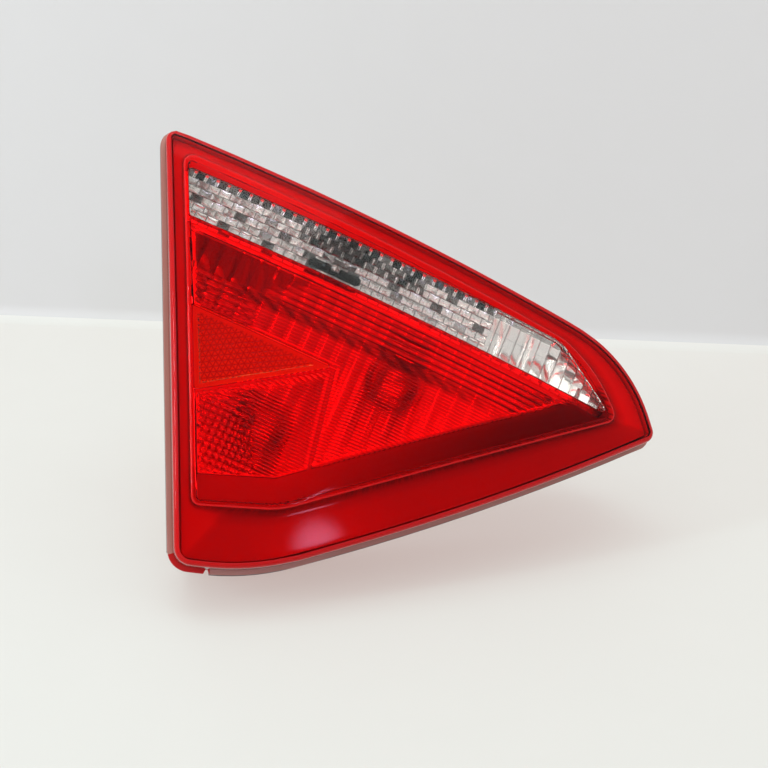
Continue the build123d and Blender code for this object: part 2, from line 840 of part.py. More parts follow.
def bulb_glass(place, low, length, neck, radius):
    """A hollow envelope, open at its foot: a neck that swells into a round-topped bulb."""
    bend = low + length - radius

    def profile(shrink):
        narrow = neck - shrink
        wide = radius - shrink
        half = wide / sqrt(2)
        round_top = ThreePointArc((wide, bend), (half, bend + half), (0, bend + wide))
        flank = Spline((narrow, low), (wide, bend), tangents=((0, 1), (0, 1)))
        foot = Polyline((0, bend + wide), (0, low), (narrow, low))
        return make_face([foot, flank, round_top])

    def turned(shrink):
        return revolve(Plane.XZ * profile(shrink), Axis.Z)

    return Pos(place.X, place.Y, 0) * (turned(0) - turned(GLASS_WALL))


def filament(place, low):
    """Two lead wires and the coil between them."""
    spread = Vector(WIRE_SPREAD, 0)
    height = low + COIL_HEIGHT
    body = rod(place - spread, WIRE_RADIUS, low, height)
    body += rod(place + spread, WIRE_RADIUS, low, height)
    coil = Rot(0, QUARTER_TURN, 0) * Cylinder(COIL_RADIUS, WIRE_SPREAD * 2 + COIL_RADIUS)
    return body + Pos(place.X, place.Y, height) * coil


def wedge_base():
    base = Rectangle(WEDGE_WIDTH, WEDGE_THICK)
    base = prism(Pos(reverse_bulb.X, reverse_bulb.Y) * base, carrier_front, carrier_front + WEDGE_LENGTH)
    collar_low = carrier_front + CUP_HEIGHT
    return base + rod(reverse_bulb, TUBE_RADIUS, collar_low, carrier_front + WEDGE_LENGTH)


# Leaning back by the rake, with the lower stud at the origin

os.makedirs("parts", exist_ok=True)
lean = Rot(QUARTER_TURN - RAKE, 0, 0) * Pos(-STUD_LOW.X, -STUD_LOW.Y, SEAL_THICK)


def save(node, piece):
    solids = piece if isinstance(piece, list) else [piece]
    solids = [solid for shape in solids for solid in shape.solids()]
    placed = [lean * solid for solid in solids]
    whole = placed[0] if len(placed) == 1 else Compound(placed)
    whole.label = node
    export_step(whole, f"parts/{node}.step")
    print(node, len(placed), round(sum(solid.volume for solid in placed)))


bulb_floor = carrier_front + BASE_LENGTH
tube_floor = carrier_front + WEDGE_LENGTH

save("outer_lens", outer_lens())
save("reversing_window", reversing_window())
save("reflex_reflector", reflex_reflector())
save("inner_bezel", inner_bezel())
save("reverse_reflector", reverse_reflector())
save("tail_reflector", tail_reflector())
save("fog_reflector", fog_reflector())
save("reflector_screws", reflector_screws())
save("rear_housing", rear_housing())
save("mounting_studs", mounting_studs())
save("stud_seals", stud_seals())
save("body_gasket", body_gasket())
save("breather_caps", breather_caps())
save("bulb_carrier", bulb_carrier())
save("carrier_gasket", carrier_gasket())
for strip in routes:
    save(f"{strip}_strip", contact_strip(strip))
for bulb, spot in (("tail", TAIL_BULB), ("fog", FOG_BULB)):
    save(f"{bulb}_bulb_base", bayonet_base(spot))
    save(f"{bulb}_bulb_glass", bulb_glass(spot, bulb_floor, GLASS_LENGTH, GLASS_NECK, GLASS_RADIUS))
    save(f"{bulb}_bulb_filament", filament(spot, bulb_floor))
save("reverse_bulb_base", wedge_base())
save("reverse_bulb_glass", bulb_glass(reverse_bulb, tube_floor, TUBE_LENGTH, TUBE_RADIUS, TUBE_RADIUS))
save("reverse_bulb_filament", filament(reverse_bulb, tube_floor))
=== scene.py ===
# %% [markdown]
# # A tail light cluster for a sloping boot lid
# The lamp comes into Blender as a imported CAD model: a red outer lens with a clear reversing window
# and a reflex reflector set into it, bright reflectors and bulbs behind, and a black housing with
# its bulb carrier at the back. The CAD model is the frame. It is never moved, and every finish and
# every finer surface below is placed by its sizes.

import json
import math

import bmesh
import bpy
import numpy as np
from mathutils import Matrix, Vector
from mathutils.geometry import convex_hull_2d


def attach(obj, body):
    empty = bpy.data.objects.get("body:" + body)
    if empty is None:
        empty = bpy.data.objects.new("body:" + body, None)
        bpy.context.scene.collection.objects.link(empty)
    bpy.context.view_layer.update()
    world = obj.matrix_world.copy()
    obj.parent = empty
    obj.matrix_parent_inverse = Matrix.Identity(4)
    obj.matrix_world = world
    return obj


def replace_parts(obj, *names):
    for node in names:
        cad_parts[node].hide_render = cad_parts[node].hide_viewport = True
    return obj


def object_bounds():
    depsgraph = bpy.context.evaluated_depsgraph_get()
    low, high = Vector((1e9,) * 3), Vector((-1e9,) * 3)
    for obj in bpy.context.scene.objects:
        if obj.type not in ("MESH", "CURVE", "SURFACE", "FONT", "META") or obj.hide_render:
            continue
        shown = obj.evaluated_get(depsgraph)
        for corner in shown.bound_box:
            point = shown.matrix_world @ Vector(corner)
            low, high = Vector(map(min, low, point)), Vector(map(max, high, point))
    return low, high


MM = 0.001
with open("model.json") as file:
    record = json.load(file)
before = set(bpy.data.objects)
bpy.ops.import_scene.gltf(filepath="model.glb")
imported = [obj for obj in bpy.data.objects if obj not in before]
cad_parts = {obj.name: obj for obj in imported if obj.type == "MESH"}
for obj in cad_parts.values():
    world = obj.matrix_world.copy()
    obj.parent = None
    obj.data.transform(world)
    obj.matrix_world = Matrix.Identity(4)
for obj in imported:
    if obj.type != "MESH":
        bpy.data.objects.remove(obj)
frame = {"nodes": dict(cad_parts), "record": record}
cad_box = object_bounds()
scene = bpy.context.scene
nodes = frame["nodes"]
print("nodes", len(nodes), "box in mm", [round(x / MM, 1) for x in (*cad_box[0], *cad_box[1])])

# %% [markdown]
# ## Face coordinates
# A lamp designer measures on the face: across it, up it and out of it. The row frame stands
# upright, and the lamp leans back in it. The lower stud is the origin and its axis points straight
# out of the back of the lamp, so the stud alone gives the turn between the two. Every shape below
# is worked out in millimetres on the face and turned into the row frame by one function.

# %% Turn face coordinates into the row frame
STUD_LOW = np.array([-70.0, -44.0, -3.0])
stud = next(m for m in frame["record"]["mounts"] if m["name"] == "lower_stud")
OUTWARD = -np.array(stud["axis"], float)
SIDEWAYS = np.array([1.0, 0.0, 0.0])
FACE_AXES = np.stack([SIDEWAYS, np.cross(OUTWARD, SIDEWAYS), OUTWARD])


def on_face(p, q, n):
    """Row-frame points, in metres, of the face coordinates across, up and out, in millimetres:
    the distance from the lower stud is split along the three directions of the face."""
    step = np.stack(np.broadcast_arrays(p, q, n), axis=-1).astype(float) - STUD_LOW
    return (step @ FACE_AXES) * MM


print("face leans back", round(math.degrees(math.asin(OUTWARD[2])), 1), "degrees")

# %% [markdown]
# ## Camera
# The photograph looks down at the lamp from a little to its left. A camera is easiest to repeat as
# a target, a distance and two angles. The target is the middle of the crowned face. The focal
# length in millimetres follows from how many pixels the picture needs for a slope of one.

# %% Set the camera
CROWN_HEIGHT = 64.0
TARGET = Vector(on_face(0, 0, CROWN_HEIGHT))
CAMERA_DISTANCE = 0.575
CAMERA_TURN = math.radians(-14)
CAMERA_LIFT = math.radians(20)
SENSOR = 36.0
PICTURE_WIDTH = 768
FOCAL_PIXELS = 1339

towards_camera = Vector((
    math.sin(CAMERA_TURN) * math.cos(CAMERA_LIFT),
    -math.cos(CAMERA_TURN) * math.cos(CAMERA_LIFT),
    math.sin(CAMERA_LIFT),
))
camera = bpy.data.objects.new("camera", bpy.data.cameras.new("camera"))
camera.data.sensor_width = SENSOR
camera.data.lens = SENSOR * FOCAL_PIXELS / PICTURE_WIDTH
camera.location = TARGET + towards_camera * CAMERA_DISTANCE
camera.rotation_euler = (-towards_camera).to_track_quat("-Z", "Y").to_euler()
scene.collection.objects.link(camera)
scene.camera = camera
print("camera at", [round(x, 3) for x in camera.location], "lens", round(camera.data.lens, 1), "mm")

# %% [markdown]
# ## Meshes from arrays
# All new pieces are grids of points. One helper turns a grid into a mesh: neighbouring rows and
# columns make four-sided faces, worked out for the whole grid at once.

# %% Helpers that make a mesh from arrays


def grid_faces(rows, columns, close_columns=False):
    """Corner numbers of the faces between neighbouring points of a grid. Closed columns join the
    last column of points to the first."""
    i = np.arange(rows - 1)[:, None]
    j = np.arange(columns if close_columns else columns - 1)[None, :]
    below = (i + 1) * columns
    right = (j + 1) % columns
    corners = np.broadcast_arrays(i * columns + j, below + j, below + right, i * columns + right)
    return np.stack(corners, axis=-1).reshape(-1, 4)


def mesh_object(name, points, faces):
    """A new smooth object at the origin with the given points and faces."""
    mesh = bpy.data.meshes.new(name)
    mesh.from_pydata(np.reshape(points, (-1, 3)).tolist(), [], list(faces))
    mesh.shade_smooth()
    mesh.update()
    piece = bpy.data.objects.new(name, mesh)
    scene.collection.objects.link(piece)
    return piece


# %% [markdown]
# ## Stage
# The lamp stands on a pale table in front of a pale wall. One sheet does for both: its profile is
# the floor, a small round and the wall, carried sideways.

# %% Make the floor and the wall
FLOOR = cad_box[0].z
WALL_RUN = 0.345
WALL_TURN = math.radians(-7.5)
STAGE_REACH = 3.0
WALL_ROUND = 0.012
ROUND_STEPS = 12


def stage_profile():
    """Distance from the middle of the lamp and height: along the floor, round a quarter circle
    and up the wall."""
    turn = np.linspace(0, math.pi / 2, ROUND_STEPS)
    run = WALL_RUN - WALL_ROUND + WALL_ROUND * np.sin(turn)
    rise = WALL_ROUND - WALL_ROUND * np.cos(turn)
    return np.array([-STAGE_REACH, *run, WALL_RUN]), np.array([0, *rise, STAGE_REACH])


run, rise = stage_profile()
side = np.array([-STAGE_REACH, STAGE_REACH])
ahead = Vector((-towards_camera.x, -towards_camera.y)).normalized()
facing = math.atan2(ahead.y, ahead.x) + WALL_TURN
away = np.array([math.cos(facing), math.sin(facing)])
across = np.array([away[1], -away[0]])
ground = np.array(TARGET[:2]) + run[:, None, None] * away + side[None, :, None] * across
height = np.broadcast_to((FLOOR + rise)[:, None, None], ground.shape[:2] + (1,))
backdrop = mesh_object("backdrop", np.concatenate([ground, height], -1),
                       grid_faces(len(run), 2).tolist())
backdrop.data.flip_normals()
print("floor at", round(FLOOR / MM, 1), "mm, wall", round(WALL_RUN / MM), "mm behind the lamp")

# %% [markdown]
# ## Node helpers
# Light and finishes are node trees. One helper adds a node, gives each of its inputs a plain value
# or a link, and hands on one output. The others use it for sums, soft steps and mixes.

# %% Helpers that add nodes


def add_node(tree, kind, output, inputs=None, **settings):
    """One output of a new node. Each input, by name or number, takes a value or an output."""
    node = tree.nodes.new(kind)
    for label, value in settings.items():
        setattr(node, label, value)
    for label, value in (inputs or {}).items():
        if isinstance(value, bpy.types.NodeSocket):
            tree.links.new(value, node.inputs[label])
        else:
            node.inputs[label].default_value = value
    return node.outputs[output]


def math_node(tree, operation, first, second):
    """The sum, product or power of two numbers or outputs."""
    return add_node(tree, "ShaderNodeMath", "Value", {0: first, 1: second}, operation=operation)


def soft_step(tree, value, low, high):
    """0 below low, 1 above high and a smooth S between."""
    return add_node(tree, "ShaderNodeMapRange", "Result", interpolation_type="SMOOTHSTEP",
                    inputs={"Value": value, "From Min": low, "From Max": high})


def mix_colours(tree, share, first, second):
    """The first colour where the share is 0, the second where it is 1."""
    return add_node(tree, "ShaderNodeMix", "Result", data_type="RGBA",
                    inputs={"Factor": share, "A": first, "B": second})


def mix_shaders(tree, share, first, second, output):
    """Sends the first shader to the output node where the share is 0, the second where it is 1."""
    mix = add_node(tree, "ShaderNodeMixShader", "Shader", {"Fac": share, 1: first, 2: second})
    tree.links.new(mix, tree.nodes[output].inputs["Surface"])


# %% [markdown]
# ## Light
# The picture has the soft light of a bright room. Two area lamps, a wide one overhead and a narrow
# one at the left, only shape it. Most of the light comes from the room itself.

# %% Place the lamps
scene.view_settings.view_transform = "Standard"
LAMPS = {
    "overhead": ((-0.05, -0.12, 1.35), (1.4, 0.5), 4.0),
    "window_side": ((-1.1, -0.3, 0.55), (0.12, 0.6), 7.0),
}
for name, (place, size, power) in LAMPS.items():
    light = bpy.data.lights.new(name, "AREA")
    light.shape = "RECTANGLE"
    light.size, light.size_y = size
    light.energy = power
    holder = bpy.data.objects.new(name, light)
    holder.location = place
    holder.rotation_euler = (TARGET - holder.location).to_track_quat("-Z", "Y").to_euler()
    scene.collection.objects.link(holder)
    print("lamp", name, "power", power)

# %% [markdown]
# ## Room
# A glossy lens mirrors what is around it, so the world is a simple room that depends on direction
# alone. Height mixes the pale walls into a brighter ceiling. One soft glow behind the camera makes
# the highlight on the lower band of the lens: a dot product says how near to it a direction points,
# and a power narrows it to a core. The camera itself sees plain white.

# %% Colour the room
ROOM_WALLS = (0.95, 0.96, 0.98, 1.0)
CEILING = (1.6, 1.6, 1.58, 1.0)
CEILING_EDGE = (0.4, 0.75)
GLOW_AT = (0.067, -0.924, 0.376)
GLOW_LIGHT = (28.0, 25.0, 37.0, 1.0)
GLOW_SPREAD = math.radians(5)
GLOW_CORE = 4.0
CAMERA_WHITE = (0.9, 0.9, 0.9, 1.0)

world = bpy.data.worlds.new("room")
scene.world = world
world.use_nodes = True
tree = world.node_tree
direction = add_node(tree, "ShaderNodeTexCoord", "Generated")
climb = add_node(tree, "ShaderNodeSeparateXYZ", "Z", {"Vector": direction})
walls = mix_colours(tree, soft_step(tree, climb, *CEILING_EDGE), ROOM_WALLS, CEILING)
nearness = add_node(tree, "ShaderNodeVectorMath", "Value", {0: direction, 1: GLOW_AT},
                    operation="DOT_PRODUCT")
glow = soft_step(tree, nearness, math.cos(GLOW_SPREAD), 1.0)
core = math_node(tree, "POWER", glow, GLOW_CORE)
room = tree.nodes["Background"]
tree.links.new(mix_colours(tree, core, walls, GLOW_LIGHT), room.inputs["Color"])
plain = add_node(tree, "ShaderNodeBackground", "Background", {"Color": CAMERA_WHITE})
seen = add_node(tree, "ShaderNodeLightPath", "Is Camera Ray")
mix_shaders(tree, seen, room.outputs["Background"], plain, "World Output")
print("walls", ROOM_WALLS[0], "ceiling", CEILING[0], "glow", GLOW_LIGHT[0])

# %% [markdown]
# ## Shared effects
# Two effects turn up on nearly every surface of the lamp. Moulded plastic has a fine grain, and all
# of it carries a little dust and handling that makes the gloss uneven. Each is a node group, built
# once, with its own values in every material.

# %% Helpers for node groups


def node_group(name, inputs, output):
    """An empty node group, its inputs with their usual values, and its one output."""
    group = bpy.data.node_groups.new(name, "ShaderNodeTree")
    for label, value in inputs.items():
        socket = group.interface.new_socket(label, in_out="INPUT", socket_type="NodeSocketFloat")
        socket.default_value = value
    group.interface.new_socket(output, in_out="OUTPUT", socket_type="NodeSocketFloat")
    given = group.nodes.new("NodeGroupInput").outputs
    return group, given, group.nodes.new("NodeGroupOutput").inputs[output]


def noise_node(tree, scale, detail=3.0):
    """A noise pattern on Object coordinates; the scale is a number or an output."""
    place = add_node(tree, "ShaderNodeTexCoord", "Object")
    return add_node(tree, "ShaderNodeTexNoise", "Fac",
                    {"Vector": place, "Scale": scale, "Detail": detail})


# %% Make the node groups
GRAIN_SCALE = 1500.0


def make_gloss_group():
    """Roughness that wanders: a low value plus a share of the product of broad and fine noise."""
    group, given, result = node_group("uneven_gloss", {
        "Base": 0.05, "Haze": 0.05, "Broad Scale": 25.0, "Fine Scale": 400.0}, "Roughness")
    broad = noise_node(group, given["Broad Scale"])
    fine = noise_node(group, given["Fine Scale"])
    haze = math_node(group, "MULTIPLY", math_node(group, "MULTIPLY", broad, fine), given["Haze"])
    group.links.new(math_node(group, "ADD", haze, given["Base"]), result)
    return group


def make_grain_group():
    """A height for a Bump node: fine moulding grain over a slow ripple."""
    group, given, result = node_group("moulded_grain", {
        "Grain Scale": GRAIN_SCALE, "Ripple Scale": 60.0, "Ripple": 0.5}, "Height")
    grain = noise_node(group, given["Grain Scale"], detail=2.0)
    ripple = noise_node(group, given["Ripple Scale"], detail=1.0)
    swell = math_node(group, "MULTIPLY", ripple, given["Ripple"])
    group.links.new(math_node(group, "ADD", grain, swell), result)
    return group


uneven_gloss = make_gloss_group()
moulded_grain = make_grain_group()
print("groups", uneven_gloss.name, moulded_grain.name)

# %% [markdown]
# ## Materials
# A material is a Principled BSDF with a few plain values, plus the two shared effects and a colour
# that wanders between two close tones. The meshes below store a number at every point, painted
# shade: how deep it lies in a joint or in the shade of the optics. A finish with a painted shade
# colour mixes that colour into its tint by this number.

# %% Helper that makes a finish
TONE_SCALE = 35.0
PAINTED_SHADE = "painted_shade"
GRAIN_DEPTH = 0.0002
finishes = {}


def finish(name, tone, other, gloss, grain=None, depth=GRAIN_DEPTH, scale=GRAIN_SCALE,
           painted_shade=None, **plain):
    """A Principled material, kept under its name. A slow noise mixes its tone with another, gloss
    is the base and the haze of the uneven roughness, grain the strength of the bump with its depth
    and scale, painted_shade the colour of the painted shade in joints and dark places, and the rest
    goes straight to the sockets."""
    material = finishes[name] = bpy.data.materials.new(name)
    material.use_nodes = True
    tree = material.node_tree
    shader = tree.nodes["Principled BSDF"].inputs
    for label, value in plain.items():
        shader[label.replace("_", " ").title().replace("Ior", "IOR")].default_value = value
    colour = mix_colours(tree, noise_node(tree, TONE_SCALE), (*tone, 1.0), (*other, 1.0))
    # Painted shade: the stored number mixes a dark colour into the tint, standing in for shade in
    # joints and dark places.
    if painted_shade:
        shade_amount = add_node(tree, "ShaderNodeAttribute", "Fac", attribute_name=PAINTED_SHADE)
        colour = mix_colours(tree, shade_amount, colour, (*painted_shade, 1.0))
    tree.links.new(colour, shader["Base Color"])
    rough = add_node(tree, "ShaderNodeGroup", "Roughness", node_tree=uneven_gloss,
                     inputs={"Base": gloss[0], "Haze": gloss[1]})
    tree.links.new(rough, shader["Roughness"])
    if grain:
        height = add_node(tree, "ShaderNodeGroup", "Height", {"Grain Scale": scale},
                          node_tree=moulded_grain)
        bump = add_node(tree, "ShaderNodeBump", "Normal",
                        {"Strength": grain, "Distance": depth, "Height": height})
        tree.links.new(bump, shader["Normal"])
    return material


# %% Finishes of the lens, from its clear parts to its flange
CLEAR = dict(transmission_weight=1.0, ior=1.49)
HALF_CLEAR = dict(CLEAR, transmission_weight=0.5)
LENS_SHEEN = dict(specular_tint=(0.10, 0.085, 0.10, 1.0))
CLEAR_SHEEN = dict(specular_tint=(0.25, 0.25, 0.25, 1.0))
EDGE_SHEEN = dict(specular_tint=(0.3, 0.26, 0.3, 1.0))
# The painted_shade colours are painted shade: dark tints that the stored number mixes in; the clear
# lens takes a blue-green one so that its painted shade looks neutral dark.
finish("red_lens", (0.97, 0.003, 0.004), (0.94, 0.002, 0.003), (0.02, 0.05),
       painted_shade=(0.05, 0.0, 0.0), **CLEAR, **LENS_SHEEN)
finish("clear_lens", (1.0, 0.985, 0.945), (0.99, 0.97, 0.925), (0.02, 0.04),
       painted_shade=(0.002, 0.004, 0.004), **CLEAR, **CLEAR_SHEEN)
finish("reflex_red", (1.0, 0.065, 0.008), (0.97, 0.05, 0.006), (0.03, 0.05),
       painted_shade=(0.34, 0.005, 0.0), **CLEAR, **LENS_SHEEN)
# The edge is half diffuse: the lens's own red, and partly painted light standing in for light piped
# along the acrylic.
finish("red_edge", (0.80, 0.006, 0.006), (0.72, 0.004, 0.005), (0.03, 0.05),
       **HALF_CLEAR, **EDGE_SHEEN)
finish("red_lip", (0.42, 0.006, 0.005), (0.36, 0.005, 0.004), (0.4, 0.2), 0.05, **EDGE_SHEEN)
# The skirt's dark brown is painted shade for the shaded gap between the lens and its flange.
finish("skirt_painted_shade", (0.17, 0.012, 0.008), (0.13, 0.008, 0.006), (0.12, 0.2), 0.05, **EDGE_SHEEN)
# The pale pink inner wall is painted light: it brightens the line seen through the rim of the lens.
finish("inner_wall_painted_light", (0.92, 0.52, 0.52), (0.86, 0.46, 0.46), (0.5, 0.2), 0.1)
finish("weld_flange", (0.34, 0.17, 0.13), (0.35, 0.10, 0.08), (0.3, 0.2), 0.1)
print("finishes of the lens", len(finishes))

# %% Finishes of the inside and the back
METAL = dict(metallic=1.0, depth=0.0001)
finish("bright_trim", (0.86, 0.86, 0.86), (0.81, 0.81, 0.82), (0.35, 0.1), 0.05, metallic=0.25)
finish("aluminised", (0.96, 0.96, 0.96), (0.92, 0.92, 0.93), (0.06, 0.12), 0.04, metallic=0.8)
finish("bulb_glass", (1.0, 1.0, 1.0), (0.98, 0.98, 0.98), (0.0, 0.03),
       transmission_weight=1.0, ior=1.5)
finish("filament_wire", (0.35, 0.34, 0.33), (0.28, 0.27, 0.26), (0.35, 0.2), 0.1, **METAL)
finish("brass_base", (0.97, 0.95, 0.90), (0.94, 0.91, 0.85), (0.12, 0.2), 0.05, **METAL)
finish("wedge_white", (0.72, 0.72, 0.70), (0.64, 0.64, 0.62), (0.35, 0.2), 0.1)
finish("brass_strip", (0.80, 0.62, 0.30), (0.70, 0.50, 0.22), (0.2, 0.3), 0.1, **METAL)
finish("carrier_grey", (0.42, 0.425, 0.43), (0.48, 0.48, 0.48), (0.4, 0.25), 0.2)
finish("housing_black", (0.022, 0.022, 0.024), (0.032, 0.032, 0.033), (0.38, 0.3), 0.25)
finish("rubber_black", (0.018, 0.018, 0.018), (0.03, 0.03, 0.03), (0.5, 0.3), 0.2)
finish("foam", (0.045, 0.045, 0.047), (0.075, 0.075, 0.075), (0.85, 0.15), 0.8,
       depth=0.0008, scale=900.0)
finish("zinc", (0.62, 0.60, 0.54), (0.52, 0.49, 0.40), (0.25, 0.3), 0.15, **METAL)
for node in nodes.values():
    node.data.materials[0] = finishes[node.data.materials[0].name.split(".")[0]]
print("dressed", len(nodes), "nodes,", len(finishes), "finishes in all")

# %% [markdown]
# ## Finish of the stage
# The table and the wall glow a little in a warm tone, which keeps the shadow of the lamp light.
# Seen from behind they let the camera through, so that other views of the lamp stay open.

# %% Finish the stage
STAGE_GLOSS = (0.6, 0.1)
STAGE = {
    "pale_table": ((0.202, 0.293, 0.285), (0.192, 0.283, 0.275), (0.52, 0.40, 0.37, 1.0)),
    "pale_wall": ((0.303, 0.336, 0.348), (0.293, 0.326, 0.338), (0.29, 0.25, 0.23, 1.0)),
}
for name, (tone, other, glow) in STAGE.items():
    pale = finish(name, tone, other, STAGE_GLOSS, emission_color=glow, emission_strength=1.0)
    tree = pale.node_tree
    behind = add_node(tree, "ShaderNodeNewGeometry", "Backfacing")
    opaque = tree.nodes["Principled BSDF"].outputs["BSDF"]
    see_through = add_node(tree, "ShaderNodeBsdfTransparent", "BSDF")
    mix_shaders(tree, behind, opaque, see_through, "Material Output")
    backdrop.data.materials.append(pale)
    print("stage finish", name)
on_wall = np.arange(len(run) - 1) > ROUND_STEPS // 2
backdrop.data.polygons.foreach_set("material_index", on_wall.astype(int))

# %% [markdown]
# ## Outlines read from the frame
# The finer surfaces below have to fit the CAD model exactly, so their outlines are read from it.
# Every outline on the face of this lamp is convex, and the hull of a node's points, seen square to
# the face, is its outline. The crowned face is a large ball, and the points of the lens on it, or a
# step above it, give the edges of the face and of its panel. The optics run along a strip that
# falls to the right, so the outlines are turned into strip coordinates: u along the strip and v
# across it.

# %% Helpers for strip coordinates
STRIP_FALL = math.radians(30.5)
FALL_COS, FALL_SIN = math.cos(STRIP_FALL), math.sin(STRIP_FALL)


def face_points(node):
    """Face coordinates, in millimetres, of all points of a CAD node."""
    points = np.empty(len(nodes[node].data.vertices) * 3)
    nodes[node].data.vertices.foreach_get("co", points)
    return points.reshape(-1, 3) / MM @ FACE_AXES.T + STUD_LOW


def strip_of(p, q):
    """Strip coordinates of a place on the face: the face turned by the fall of the strip."""
    return np.stack([p * FALL_COS - q * FALL_SIN, p * FALL_SIN + q * FALL_COS], axis=-1)


def face_of(u, v):
    """Face coordinates, across and up, of a place on the strip: the same turn backwards."""
    return u * FALL_COS + v * FALL_SIN, v * FALL_COS - u * FALL_SIN


def outline(points):
    """The convex outline of points in strip coordinates, in order round it."""
    flat = strip_of(points[:, 0], points[:, 1])
    return flat[convex_hull_2d([Vector(x) for x in flat])]


# %% Read the outlines
CROWN_RADIUS = 700.0
PANEL_STEP = 2.0
ON_SURFACE = 0.02
lens_points = face_points("outer_lens")
crown_middle = np.array([0, 0, CROWN_HEIGHT - CROWN_RADIUS])
lens_rise = np.linalg.norm(lens_points - crown_middle, axis=-1) - CROWN_RADIUS
panel_edge = outline(lens_points[abs(lens_rise - PANEL_STEP) < ON_SURFACE])
face_edge = outline(lens_points[abs(lens_rise) < ON_SURFACE])
window_edge, reflex_edge, tail_edge, fog_edge = [outline(face_points(node)) for node in (
    "reversing_window", "reflex_reflector", "tail_reflector", "fog_reflector")]
print("corners of the panel", len(panel_edge), "face", len(face_edge), "window", len(window_edge))

# %% Helpers that measure on an outline


def heights(edge):
    """Lowest and highest v of an outline."""
    return edge[:, 1].min(), edge[:, 1].max()


def stretch(edge, v):
    """Lowest and highest u of an outline at each height v, read off its two chains of straight
    lines from the lowest to the highest corner."""
    low, high = heights(edge)
    v = np.clip(v, low + ON_SURFACE, high - ON_SURFACE)
    ring = np.roll(edge, -np.argmin(edge[:, 1]), axis=0)
    top = np.argmax(ring[:, 1])
    one = np.interp(v, ring[:top + 1, 1], ring[:top + 1, 0])
    back = np.concatenate([ring[top:], ring[:1]])[::-1]
    other = np.interp(v, back[:, 1], back[:, 0])
    return np.minimum(one, other), np.maximum(one, other)


def sides_of(edge):
    """A corner and the inward direction of every side of an outline that is long enough."""
    sides = np.roll(edge, -1, axis=0) - edge
    length = np.linalg.norm(sides, axis=1)
    keep = length > ON_SURFACE
    inward = np.stack([-sides[keep, 1], sides[keep, 0]], axis=-1) / length[keep, None]
    inward *= np.sign(np.sum(inward * (edge.mean(0) - edge[keep]), axis=-1))[:, None]
    return edge[keep], inward


def depth_inside(edge, u, v, facing=-np.inf):
    """Distance from each place to the nearest side of an outline, negative outside it. Only sides
    count whose inward direction points up the face by more than the given share."""
    place = np.stack([u, v], axis=-1)
    nearest = np.full(place.shape[:-1], np.inf)
    for corner, normal in zip(*sides_of(edge)):
        if face_of(*normal)[1] > facing:
            nearest = np.minimum(nearest, (place - corner) @ normal)
    return nearest


def inset_stretch(edge, v, depth):
    """Lowest and highest u on each height v that lie deeper in an outline than the depth: every
    side moved inwards cuts off a part of the row."""
    first, last = np.full(len(v), -np.inf), np.full(len(v), np.inf)
    for corner, normal in zip(*sides_of(edge)):
        if abs(normal[0]) < ON_SURFACE:
            continue
        cut = corner[0] + (depth - (v - corner[1]) * normal[1]) / normal[0]
        if normal[0] > 0:
            first = np.maximum(first, cut)
        else:
            last = np.minimum(last, cut)
    middle = (first + last) / 2
    return np.minimum(first, middle), np.maximum(last, middle)


# %% [markdown]
# ## Tiles of moulded lens
# A lens tile is a closed body between two surfaces over the same patch of the face: an outer one
# that follows the crown, and an inner one that carries the optics. Its rows run along the strip
# from the left side of the patch to the right side.

# %% Helpers that place a tile
FACET_DEPTH = 0.1


def crown_out(p, q, rise):
    """How far out of the face a ball lies that is larger than the crown by the rise. It stays
    under the flat facets of the CAD model."""
    ball = CROWN_RADIUS + rise - FACET_DEPTH
    return CROWN_HEIGHT - CROWN_RADIUS + np.sqrt(ball ** 2 - p ** 2 - q ** 2)


def crown_place(u, v, rise):
    """Row-frame points over the strip coordinates, on that ball."""
    p, q = face_of(u, v)
    return on_face(p, q, crown_out(p, q, rise))


def tile_grid(edge, step_u, step_v):
    """Strip coordinates all over an outline: rows from its lowest to its highest place, each
    divided evenly from its left side to its right side."""
    low, high = heights(edge)
    v = np.linspace(low, high, round((high - low) / step_v) + 1)
    left, right = stretch(edge, v)
    share = np.linspace(0, 1, round((right - left).max() / step_u) + 1)
    u = left[:, None] + (right - left)[:, None] * share
    return u, np.broadcast_to(v[:, None], u.shape)


# %% Helpers that make a closed mesh
MERGE = 2e-7


def set_painted_shade(piece, values):
    """Stores the painted shade of every point, from 0 to 1, for the finish to read: how deep it lies
    in a joint or in shade.
    """
    piece.data.attributes.new(PAINTED_SHADE, "FLOAT", "POINT").data.foreach_set("value", np.ravel(values))


def closed_tile(name, u, v, outer_rise, inner_rise, painted_shade):
    """A closed body over a grid of strip coordinates: the outer grid, the inner grid and the four
    walls between their sides. The painted shade values belong to the inner grid."""
    points = np.concatenate([crown_place(u, v, outer_rise), crown_place(u, v, inner_rise)])
    sheet = grid_faces(*u.shape)
    number = np.arange(u.size).reshape(u.shape)
    rim = np.concatenate([number[:-1, 0], number[-1, :-1], number[:0:-1, -1], number[0, :0:-1]])
    after = np.roll(rim, -1)
    walls = np.stack([rim, after, after + u.size, rim + u.size], axis=-1)
    faces = np.concatenate([sheet[:, ::-1], sheet + u.size, walls])
    piece = mesh_object(name, points, faces.tolist())
    set_painted_shade(piece, np.concatenate([np.zeros(u.size), painted_shade.ravel()]))
    return piece


